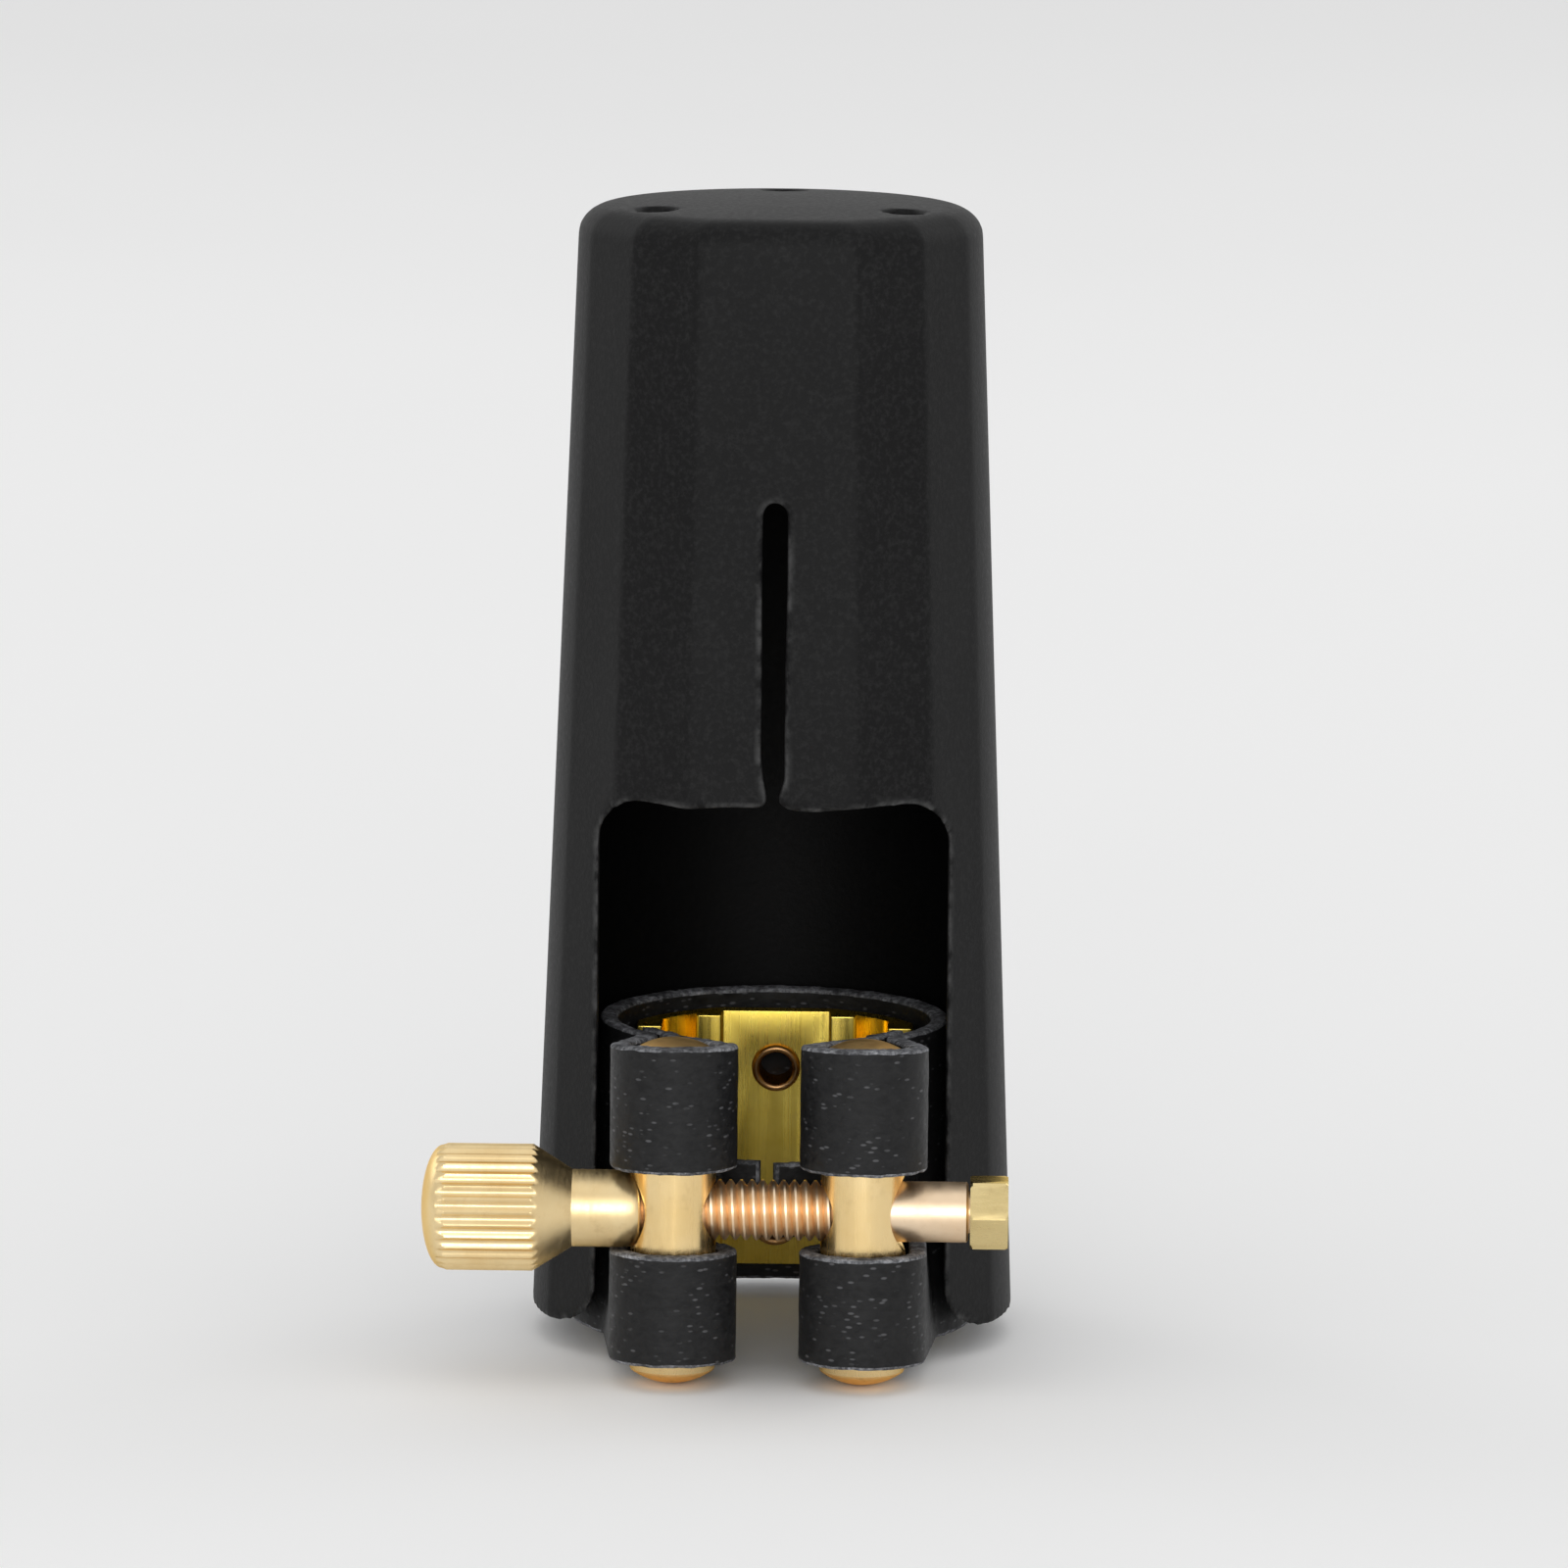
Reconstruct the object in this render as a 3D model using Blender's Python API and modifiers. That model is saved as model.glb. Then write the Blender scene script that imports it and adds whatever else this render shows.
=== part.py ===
"""Leather saxophone ligature inside its mouthpiece cap.

A conical leather band carries a brass reed plate at the back, held by two tubular
eyelets. At the front the band's ends are folded into loops round two upright brass
posts. A stud is fixed in the right post, passes through the left post and ends in a
knurled thumb nut, which draws the two posts together. A plastic cap covers it all.

The ligature and the cap share one vertical axis. +X is right, +Y is the back and +Z
is up. The origin is at the bottom centre of the whole object's box.
"""
import math

import bmesh
import bpy
from mathutils import Matrix, Vector

MM = 0.001
COLLECTION = "saxophone_ligature"
MERGE = 1e-7

# How far the cutters reach past the faces that they cut
SPARE = 1 * MM
FRONT_CUT_Y = -3 * MM
FAR = 30 * MM

# Mouthpiece cap
CAP_BASE_R = 16.2 * MM
CAP_TOP_R = 13.45 * MM
CAP_WALL = 1.7 * MM
CAP_BASE_Z = 1.7 * MM
CAP_TOP_Z = 76.6 * MM
CAP_RIM_R = 1.6 * MM
CAP_SECTORS = 64
CAP_FACETS = ((-67.5, -45.0), (-45.0, -22.5), (-22.5, 22.5), (22.5, 45.0), (45.0, 67.5))
NOTCH_HALF_W = 11.6 * MM
NOTCH_TOP_Z = 37.7 * MM
NOTCH_CORNER_R = 2.8 * MM
LEG_CORNER_R = 3.4 * MM
SLIT_HALF_W = 0.85 * MM
SLIT_TOP_Z = 57.9 * MM
VENT_R = 1.35 * MM
VENT_PITCH_R = 9.4 * MM

# Leather band
LEATHER = 1.15 * MM
BAND_BASE_R = 13.73 * MM
BAND_TOP_R = 11.70 * MM
BAND_BASE_Z = 0.7 * MM
BAND_TOP_Z = 21.4 * MM
BAND_STEPS = 96
SPLIT_Y = -7.65 * MM
SPLIT_GAP = 0.3 * MM
RISE = 0.055
TONGUE_Z = (8.7 * MM, 13.6 * MM)
TONGUE_GAP_X = (-0.6 * MM, 0.3 * MM)

# Leather loops, low and high edges where they leave the band
LOWER_LOOP_Z = (1.0 * MM, 8.4 * MM)
UPPER_LOOP_Z = (13.9 * MM, 22.1 * MM)
LOWER_TIP_X = 9.85 * MM
UPPER_TIP_X = 8.6 * MM
TIP_HALF_W = 1.0 * MM
HOLE_TIP_SHARE = 0.72
HOLE_TIP_HALF_W = 0.12 * MM

# Posts
POST_X = 6.26 * MM
POST_Y = -17.4 * MM
POST_R = 2.82 * MM
POST_TOP_Z = 23.07 * MM
DOME_H = 0.95 * MM
LOOP_R = 4.2 * MM
SCREW_Z = 11.6 * MM
BORE_R = 2.1 * MM
SINK_R = 2.75 * MM
SINK_DEPTH = 1.3 * MM
SINK_FLARE = 0.1 * MM
SINK_LEAD = 0.2 * MM

# Stud with its end collar
STUD_R = 2.0 * MM
STUD_START_X = -16.5 * MM
STUD_SHOULDER_X = 13.2 * MM
STUD_CHAMFER = 0.4 * MM
TENON_R = 1.4 * MM
TENON_BORE_R = 1.5 * MM
COLLAR_END_X = 15.79 * MM
COLLAR_FLAT = 4.5 * MM
COLLAR_GAP = 0.1 * MM
COLLAR_BEVEL = 0.2 * MM

# Thumb nut, measured along the stud's axis
KNOB_END_X = -22.86 * MM
KNOB_FACE_X = -21.4 * MM
KNOB_BACK_X = -15.5 * MM
CONE_END_X = -12.9 * MM
SEAT_X = -10.3 * MM
NUT_FACE_X = -8.8 * MM
KNOB_R = 4.2 * MM
KNOB_EDGE_R = 3.85 * MM
SHOULDER_R = 2.55 * MM
SEAT_R = 2.35 * MM
NUT_BORE_END_X = -20.4 * MM
KNURLS = 30
KNURL_DEPTH = 0.22 * MM
KNURL_FRONT = 0.3 * MM
KNURL_BACK = 0.6 * MM
KNOB_RELIEF = 0.2 * MM

# Reed plate
PLATE_Z = (2.1 * MM, 20.2 * MM)
PLATE_BACK_R = 10.3 * MM
PLATE_T = 0.95 * MM
PLATE_HALF_W = 9.35 * MM
FIELD_HALF_W = 3.7 * MM
RIBS_X = (4.55 * MM, 8.5 * MM)
RIB_HALF_W = 0.85 * MM
RIB_H = 1.6 * MM
PLATE_GAP = 0.15 * MM

# Eyelets through the plate and the leather
EYELET_Z = {"upper_eyelet": 16.6 * MM, "lower_eyelet": 5.6 * MM}
EYELET_BORE_R = 1.12 * MM
EYELET_TUBE_R = 1.35 * MM
EYELET_RIM_R = 1.62 * MM
EYELET_HOLE_R = 1.45 * MM
EYELET_GAP = 0.06 * MM

BAND_TAPER = (BAND_BASE_R - BAND_TOP_R) / (BAND_TOP_Z - BAND_BASE_Z)
AXIS = Vector(((-KNOB_END_X - CAP_BASE_R) / 2, (KNOB_R - POST_Y - CAP_BASE_R) / 2, 0))


# ---------------------------------------------------------------- scene helpers
def clear_scene():
    for obj in list(bpy.data.objects):
        bpy.data.objects.remove(obj, do_unlink=True)
    for group in list(bpy.data.collections):
        bpy.data.collections.remove(group)


def new_collection(name):
    group = bpy.data.collections.new(name)
    bpy.context.scene.collection.children.link(group)
    return group


def new_material(name, colour, metallic, roughness):
    material = bpy.data.materials.new(name)
    material.use_nodes = True
    shader = material.node_tree.nodes["Principled BSDF"]
    shader.inputs["Base Color"].default_value = (*colour, 1.0)
    shader.inputs["Metallic"].default_value = metallic
    shader.inputs["Roughness"].default_value = roughness
    return material


def new_empty(name, location, parent=None):
    empty = bpy.data.objects.new(name, None)
    empty.empty_display_size = 5 * MM
    empty.location = location
    empty.parent = parent
    PARTS.objects.link(empty)
    return empty


def new_object(name, bm, location=(0, 0, 0), rotation=(0, 0, 0)):
    """Make an object from a bmesh, in the parts collection."""
    mesh = bpy.data.meshes.new(name)
    bm.to_mesh(mesh)
    bm.free()
    obj = bpy.data.objects.new(name, mesh)
    obj.location = location
    obj.rotation_euler = rotation
    PARTS.objects.link(obj)
    return obj


def finish_piece(obj, material, parent, sharp_angle=32):
    """Give a piece its material, its smooth shading and its parent."""
    obj.data.materials.append(material)
    obj.data.shade_smooth()
    obj.data.set_sharp_from_angle(angle=math.radians(sharp_angle))
    obj.location = Vector(obj.location) - parent.location if parent.parent else obj.location
    obj.parent = parent
    return obj


def cut(obj, cutter):
    """Cut one object with another, which becomes a hidden guide."""
    if cutter.name not in CUTTERS.objects:
        PARTS.objects.unlink(cutter)
        CUTTERS.objects.link(cutter)
        cutter.hide_render = True
        cutter.display_type = "WIRE"
        cutter.parent = ASSEMBLY
    modifier = obj.modifiers.new("cut_" + cutter.name, "BOOLEAN")
    modifier.operation = "DIFFERENCE"
    modifier.solver = "EXACT"
    modifier.object = cutter


# ---------------------------------------------------------------- shape helpers
def arc(centre, radius, start, end, steps):
    """Points along an arc, angles in degrees anticlockwise from the first axis."""
    angles = [math.radians(start + (end - start) * i / steps) for i in range(steps + 1)]
    return [(centre[0] + radius * math.cos(a), centre[1] + radius * math.sin(a)) for a in angles]


def prism(name, outline, low, high, plane="XY"):
    """A flat outline drawn in a plane and extruded along the plane's normal."""
    place = {
        "XY": lambda u, v, w: (u, v, w),
        "XZ": lambda u, v, w: (u, w, v),
        "YZ": lambda u, v, w: (w, u, v),
    }[plane]
    bm = bmesh.new()
    base = bm.faces.new([bm.verts.new(place(u, v, low)) for u, v in outline])
    moved = bmesh.ops.extrude_face_region(bm, geom=[base])["geom"]
    verts = [item for item in moved if isinstance(item, bmesh.types.BMVert)]
    bmesh.ops.translate(bm, verts=verts, vec=place(0, 0, high - low))
    bmesh.ops.recalc_face_normals(bm, faces=bm.faces)
    return new_object(name, bm)


def turned(name, profile, steps, closed=False, location=(0, 0, 0), rotation=(0, 0, 0)):
    """Turn a profile of (radius, height) points about its own Z axis."""
    bm = bmesh.new()
    verts = [bm.verts.new((r, 0, z)) for r, z in profile]
    ends = verts[1:] + ([verts[0]] if closed else [])
    for first, second in zip(verts, ends):
        bm.edges.new((first, second))
    obj = new_object(name, bm, location, rotation)
    screw = obj.modifiers.new("turn", "SCREW")
    screw.steps = steps
    screw.render_steps = steps
    screw.use_merge_vertices = True
    screw.merge_threshold = MERGE
    return obj


def along_x(x, y=POST_Y, z=SCREW_Z):
    """Location and rotation that lay a turned piece's axis along +X."""
    return {"location": (x, y, z), "rotation": (0, math.pi / 2, 0)}


def cross_cylinder(name, radius, low_x, high_x, steps=32):
    """A round cutter along the stud's axis."""
    profile = [(0, high_x), (radius, high_x), (radius, low_x), (0, low_x)]
    return turned(name, profile, steps, **along_x(0))


# ---------------------------------------------------------------- cap
def facet_factor(angle):
    """How far the cap's section lies inside its circle, by degrees from the front."""
    for low, high in CAP_FACETS:
        if low <= angle <= high:
            half = math.radians(high - low) / 2
            return math.cos(half) / math.cos(math.radians(angle - (low + high) / 2))
    return 1.0


def cap_ring(bm, radius, height):
    """One ring of the cap's outer skin: round at the back, flats at the front."""
    ring = []
    for i in range(CAP_SECTORS):
        angle = -180 + 360 * i / CAP_SECTORS
        reach = radius * facet_factor(angle)
        turn = math.radians(angle)
        ring.append(bm.verts.new((reach * math.sin(turn), -reach * math.cos(turn), height)))
    return ring


def cap_outline():
    """The cap's skin as (radius, height) rings, from below its rim to its flat top."""
    foot = CAP_BASE_Z - SPARE / 2
    shoulder = CAP_TOP_Z - CAP_RIM_R
    slope = (CAP_BASE_R - CAP_TOP_R) / (shoulder - CAP_BASE_Z)
    rim = arc((CAP_TOP_R - CAP_RIM_R, shoulder), CAP_RIM_R, 0, 90, 5)
    return [(CAP_BASE_R + slope * (CAP_BASE_Z - foot), foot)] + rim


def notch_outline():
    """The front window: open at the foot, with rounded corners."""
    foot = CAP_BASE_Z - SPARE
    flare = CAP_BASE_Z + LEG_CORNER_R
    wide = NOTCH_HALF_W + LEG_CORNER_R
    right = [(wide, foot)]
    right += arc((wide, flare), LEG_CORNER_R, 270, 180, 6)
    corner = (NOTCH_HALF_W - NOTCH_CORNER_R, NOTCH_TOP_Z - NOTCH_CORNER_R)
    right += arc(corner, NOTCH_CORNER_R, 0, 90, 6)
    return right + [(-x, z) for x, z in reversed(right)]


def slit_outline():
    """The slit above the window, with a round upper end."""
    top = SLIT_TOP_Z - SLIT_HALF_W
    foot = NOTCH_TOP_Z - SPARE
    return [(-SLIT_HALF_W, foot), (SLIT_HALF_W, foot)] + arc((0, top), SLIT_HALF_W, 0, 180, 8)


def make_cap(material, parent):
    bm = bmesh.new()
    rings = [cap_ring(bm, radius, height) for radius, height in cap_outline()]
    for low, high in zip(rings, rings[1:]):
        for i in range(CAP_SECTORS):
            j = (i + 1) % CAP_SECTORS
            bm.faces.new((low[i], low[j], high[j], high[i]))
    bm.faces.new(rings[-1])
    bmesh.ops.recalc_face_normals(bm, faces=bm.faces)
    cap = new_object("cap_shell", bm)
    shell = cap.modifiers.new("wall", "SOLIDIFY")
    shell.thickness = CAP_WALL
    shell.offset = -1
    shell.use_even_offset = True
    wide = 2 * CAP_BASE_R
    foot = [(-wide, -wide), (wide, -wide), (wide, wide), (-wide, wide)]
    cut(cap, prism("cap_foot_cutter", foot, -FAR, CAP_BASE_Z))
    cut(cap, prism("cap_window_cutter", notch_outline(), -wide, FRONT_CUT_Y, "XZ"))
    cut(cap, prism("cap_slit_cutter", slit_outline(), -wide, FRONT_CUT_Y, "XZ"))
    for number, angle in enumerate((90, 210, 330), 1):
        x, y = arc((0, 0), VENT_PITCH_R, angle, angle, 1)[0]
        ends = (CAP_TOP_Z - 2 * CAP_WALL, CAP_TOP_Z + SPARE)
        cut(cap, prism(f"cap_vent_cutter_{number}", arc((x, y), VENT_R, 0, 345, 23), *ends))
    return finish_piece(cap, material, parent)


# ---------------------------------------------------------------- leather
def band_radius(z):
    """Outer radius of the conical band at a height."""
    return BAND_BASE_R - BAND_TAPER * (z - BAND_BASE_Z)


def rise(y):
    """How much higher the strap runs at y than where it leaves the band."""
    return RISE * max(0, SPLIT_Y - y)


def front_outline(edge_z, far_z):
    """The space in front of the split, from the tongue's edge to beyond the band."""
    far_y = -FAR
    near = SPLIT_Y + SPLIT_GAP
    return [(near, far_z), (near, edge_z), (far_y, edge_z + rise(far_y)), (far_y, far_z)]


def make_band(material, parent):
    low, high = band_radius(BAND_BASE_Z), band_radius(BAND_TOP_Z)
    profile = [(high, BAND_TOP_Z), (low, BAND_BASE_Z)]
    profile += [(low - LEATHER, BAND_BASE_Z), (high - LEATHER, BAND_TOP_Z)]
    band = turned("leather_band", profile, BAND_STEPS, closed=True)
    wide = 1.2 * BAND_BASE_R
    above = front_outline(TONGUE_Z[1], BAND_TOP_Z + FAR)
    below = front_outline(TONGUE_Z[0], BAND_BASE_Z - FAR)
    cut(band, prism("band_above_tongue_cutter", above, -wide, wide, "YZ"))
    cut(band, prism("band_below_tongue_cutter", below, -wide, wide, "YZ"))
    left, right = TONGUE_GAP_X
    gap = [(left, 0), (right, 0), (right, FAR), (left, FAR)]
    cut(band, prism("band_gap_cutter", gap, -wide, FRONT_CUT_Y, "XZ"))
    for name in EYELET_Z:
        cut(band, bpy.data.objects[name + "_hole_cutter"])
    return finish_piece(band, material, parent)


def teardrop(tip, tip_half_width, radius):
    """Outline round a post at the origin that narrows to a tip, as two tangents."""
    reach = tip.length
    heading = math.degrees(math.atan2(tip.y, tip.x))
    spread = math.degrees(math.acos(min(1, (radius - tip_half_width) / reach)))
    side = Vector((-tip.y, tip.x)).normalized() * tip_half_width
    ends = [tip - side, tip + side]
    turn = arc((0, 0), radius, heading + spread, heading + 360 - spread, 20)
    return [tuple(ends[0]), tuple(ends[1])] + turn


def make_loop(name, side, tip_x, heights, material, parent):
    """One leather loop: out from the band, round the post and back."""
    post = Vector((side * POST_X, POST_Y))
    tip = Vector((side * tip_x, SPLIT_Y)) - post
    outer = teardrop(tip, TIP_HALF_W, LOOP_R)
    inner = teardrop(tip * HOLE_TIP_SHARE, HOLE_TIP_HALF_W, LOOP_R - LEATHER)
    low, high = heights
    outer = [(x + post.x, y + post.y) for x, y in outer]
    inner = [(x + post.x, y + post.y) for x, y in inner]
    loop = prism(name, outer, low, high)
    for vert in loop.data.vertices:
        vert.co.z += rise(vert.co.y)
    cut(loop, prism(name + "_hole_cutter", inner, -SPARE, FAR))
    return finish_piece(loop, material, parent)


# ---------------------------------------------------------------- reed plate
def plate_y(x, radius):
    """Depth of the plate's curved faces at x, flat across the centre field."""
    return math.sqrt(radius ** 2 - max(abs(x), FIELD_HALF_W) ** 2)


def plate_half_outline():
    """Right half of the plate's section: front face with ribs, then back face."""
    front_r = PLATE_BACK_R - PLATE_T
    inner, outer = RIBS_X
    points = []
    for centre, end in ((inner, outer - RIB_HALF_W), (outer, PLATE_HALF_W)):
        start, stop = centre - RIB_HALF_W, min(centre + RIB_HALF_W, end)
        crest = plate_y(centre, front_r) - RIB_H
        points += [(start, plate_y(start, front_r)), (start, crest), (stop, crest)]
        if end > stop:
            points += [(x, plate_y(x, front_r)) for x in (stop, (stop + end) / 2)]
    for i in range(9):
        x = PLATE_HALF_W + (FIELD_HALF_W - PLATE_HALF_W) * i / 8
        points.append((x, plate_y(x, PLATE_BACK_R)))
    return points


def make_plate(material, parent):
    right = plate_half_outline()
    outline = right + [(-x, y) for x, y in reversed(right)]
    low, high = PLATE_Z
    plate = prism("reed_plate", outline, low, high)
    for vert in plate.data.vertices:
        back = band_radius(vert.co.z) - LEATHER - PLATE_GAP
        vert.co.y += back - PLATE_BACK_R
    for name in EYELET_Z:
        cut(plate, bpy.data.objects[name + "_hole_cutter"])
    return finish_piece(plate, material, parent)


def eyelet_foot(z):
    """Where an eyelet's axis, square to the cone at height z, meets the main axis."""
    return z - band_radius(z) * BAND_TAPER


def eyelet_placing(z):
    """The eyelet's axis stands square to the cone, its +Z towards the front."""
    lean = math.atan(BAND_TAPER)
    return {"location": (0, 0, eyelet_foot(z)), "rotation": (math.pi / 2 + lean, 0, 0)}


def make_eyelet_hole(name, z):
    profile = [(0, 0), (EYELET_HOLE_R, 0), (EYELET_HOLE_R, -FAR), (0, -FAR)]
    return turned(name + "_hole_cutter", profile, 24, **eyelet_placing(z))


def make_eyelet(name, z, material, parent):
    """A tubular rivet with a rolled rim on the plate and another on the leather."""
    lean = math.cos(math.atan(BAND_TAPER))
    skin = band_radius(eyelet_foot(z))
    leather_back = -skin * lean - EYELET_GAP
    plate_shift = skin - LEATHER - PLATE_GAP - PLATE_BACK_R
    plate_front = -(plate_shift + plate_y(0, PLATE_BACK_R - PLATE_T)) * lean + EYELET_GAP
    middle = (EYELET_RIM_R + EYELET_BORE_R) / 2
    half = (EYELET_RIM_R - EYELET_BORE_R) / 2
    front = [(middle + u, plate_front + v) for u, v in arc((0, 0), half, 180, 0, 8)]
    back = [(middle + u, leather_back - v) for u, v in arc((0, 0), half, 0, 180, 8)]
    tube = [(EYELET_TUBE_R, plate_front), (EYELET_TUBE_R, leather_back)]
    eyelet = turned(name, front + tube + back, 32, closed=True, **eyelet_placing(z))
    return finish_piece(eyelet, material, parent, 50)


# ---------------------------------------------------------------- posts and screw
def make_post(name, side, material, parent):
    """A domed post with a cross hole, countersunk on its outer side."""
    dome_r = (POST_R ** 2 + DOME_H ** 2) / (2 * DOME_H)
    span = math.degrees(math.asin(POST_R / dome_r))
    top = arc((0, POST_TOP_Z - dome_r), dome_r, 90, 90 - span, 6)
    foot = [(r, POST_TOP_Z - z) for r, z in reversed(top)]
    post = turned(name, top + foot, 40, location=(side * POST_X, POST_Y, 0))
    outer = side * (POST_X + POST_R)
    inner = outer - side * SINK_DEPTH
    ends = sorted([(outer + side * SINK_LEAD, SINK_R + SINK_FLARE), (inner, BORE_R)], reverse=True)
    sink = [(0, ends[0][0])] + [(r, x) for x, r in ends] + [(0, ends[1][0])]
    cut(post, cross_cylinder(name + "_bore_cutter", BORE_R, *sorted((0, side * FAR))))
    cut(post, turned(name + "_sink_cutter", sink, 32, **along_x(0)))
    return finish_piece(post, material, parent)


def make_stud(material, parent):
    """The plain stud: chamfered at its free end, a thin tenon at the collar."""
    profile = [(0, COLLAR_END_X), (TENON_R, COLLAR_END_X), (TENON_R, STUD_SHOULDER_X)]
    profile += [(STUD_R, STUD_SHOULDER_X), (STUD_R, STUD_START_X + STUD_CHAMFER)]
    profile += [(STUD_R - STUD_CHAMFER, STUD_START_X), (0, STUD_START_X)]
    return finish_piece(turned("stud", profile, 32, **along_x(0)), material, parent)


def make_collar(material, parent):
    """The hexagonal collar, one corner towards the front, with bevelled corners."""
    length = COLLAR_END_X - STUD_SHOULDER_X - COLLAR_GAP
    bm = bmesh.new()
    corner_r = COLLAR_FLAT / math.sqrt(3)
    ends = {"radius1": corner_r, "radius2": corner_r, "cap_ends": True}
    bmesh.ops.create_cone(bm, segments=6, depth=length, **ends)
    bmesh.ops.rotate(bm, verts=bm.verts, matrix=Matrix.Rotation(math.pi / 2, 3, "Z"))
    middle = COLLAR_END_X - length / 2
    collar = new_object("stud_collar", bm, **along_x(middle))
    bevel = collar.modifiers.new("edges", "BEVEL")
    bevel.width = COLLAR_BEVEL
    bevel.segments = 2
    cut(collar, cross_cylinder("collar_bore_cutter", TENON_BORE_R, 0, FAR))
    return finish_piece(collar, material, parent)


def nut_rings():
    """The nut's skin as (radius, x, ridge depth) rings from its face to its domed end."""
    dome = arc((KNOB_FACE_X, 0), 1, 90, 180, 5)
    height = KNOB_FACE_X - KNOB_END_X
    rings = [(SEAT_R, NUT_FACE_X, 0), (SHOULDER_R, SEAT_X, 0), (SHOULDER_R, CONE_END_X, 0)]
    rings += [(KNOB_R - KNURL_DEPTH, KNOB_BACK_X - KNOB_RELIEF, 0)]
    rings += [(KNOB_R, KNOB_BACK_X - KNURL_BACK, KNURL_DEPTH)]
    rings += [(KNOB_R, KNOB_FACE_X + KNURL_FRONT, KNURL_DEPTH), (KNOB_EDGE_R, KNOB_FACE_X, 0)]
    rings += [(KNOB_EDGE_R * r, KNOB_FACE_X + (x - KNOB_FACE_X) * height, 0) for x, r in dome[1:-1]]
    return rings


def make_nut(material, parent):
    """The thumb nut: a knurled knob, a cone and a shoulder with a blind bore."""
    bm = bmesh.new()
    rings = []
    for radius, x, depth in nut_rings():
        ring = []
        for i in range(2 * KNURLS):
            reach = radius - depth * (i % 2)
            turn = math.pi * i / KNURLS
            y, z = reach * math.cos(turn), reach * math.sin(turn)
            ring.append(bm.verts.new((x - KNOB_BACK_X, y, z)))
        rings.append(ring)
    for first, second in zip(rings, rings[1:]):
        for i in range(2 * KNURLS):
            j = (i + 1) % (2 * KNURLS)
            bm.faces.new((first[i], first[j], second[j], second[i]))
    bm.faces.new(rings[0])
    tip = bm.verts.new((KNOB_END_X - KNOB_BACK_X, 0, 0))
    for i in range(2 * KNURLS):
        j = (i + 1) % (2 * KNURLS)
        bm.faces.new((rings[-1][i], rings[-1][j], tip))
    bmesh.ops.recalc_face_normals(bm, faces=bm.faces)
    nut = new_object("thumb_nut", bm, (KNOB_BACK_X, POST_Y, SCREW_Z))
    cut(nut, cross_cylinder("nut_bore_cutter", BORE_R, NUT_BORE_END_X, 0))
    return finish_piece(nut, material, parent)


# ---------------------------------------------------------------- assembly
clear_scene()
PARTS = new_collection(COLLECTION)
CUTTERS = new_collection("cutters")
ASSEMBLY = new_empty("assembly", AXIS)

PLASTIC = new_material("black_plastic", (0.018, 0.018, 0.019), 0.0, 0.5)
HIDE = new_material("black_leather", (0.022, 0.022, 0.024), 0.0, 0.6)
BRASS = new_material("satin_brass", (0.80, 0.58, 0.27), 1.0, 0.32)
PLATE_BRASS = new_material("bright_brass", (0.74, 0.60, 0.20), 1.0, 0.28)
STUD_BRASS = new_material("pale_brass", (0.82, 0.58, 0.36), 1.0, 0.30)
COLLAR_BRASS = new_material("yellow_brass", (0.80, 0.60, 0.22), 1.0, 0.30)
BRONZE = new_material("dark_bronze", (0.38, 0.20, 0.08), 1.0, 0.35)

LEFT = new_empty("left_carriage", (-POST_X, POST_Y, SCREW_Z), ASSEMBLY)
RIGHT = new_empty("right_carriage", (POST_X, POST_Y, SCREW_Z), ASSEMBLY)
NUT_AXIS = new_empty("nut_axis", (KNOB_BACK_X, POST_Y, SCREW_Z), ASSEMBLY)
CAP_AXIS = new_empty("cap_axis", (0, 0, CAP_TOP_Z), ASSEMBLY)

make_cap(PLASTIC, CAP_AXIS)
for eyelet_name, eyelet_z in EYELET_Z.items():
    make_eyelet_hole(eyelet_name, eyelet_z)
make_band(HIDE, ASSEMBLY)
make_plate(PLATE_BRASS, ASSEMBLY)
for eyelet_name, eyelet_z in EYELET_Z.items():
    make_eyelet(eyelet_name, eyelet_z, BRONZE, ASSEMBLY)
for side_name, side_sign, carriage in (("left", -1, LEFT), ("right", 1, RIGHT)):
    make_post(side_name + "_post", side_sign, BRASS, carriage)
    make_loop(side_name + "_lower_loop", side_sign, LOWER_TIP_X, LOWER_LOOP_Z, HIDE, carriage)
    make_loop(side_name + "_upper_loop", side_sign, UPPER_TIP_X, UPPER_LOOP_Z, HIDE, carriage)
make_stud(STUD_BRASS, RIGHT)
make_collar(COLLAR_BRASS, RIGHT)
make_nut(BRASS, NUT_AXIS)
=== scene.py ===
"""Looks of the leather saxophone ligature in its mouthpiece cap.

Every length here is in millimetres, measured from the mouthpiece axis at the level
that the posts stand on, and is turned into the frame's metres when a mesh is made.
"""
import math

import bmesh
import bpy
import numpy as np
from mathutils import Matrix, Vector, noise


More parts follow.
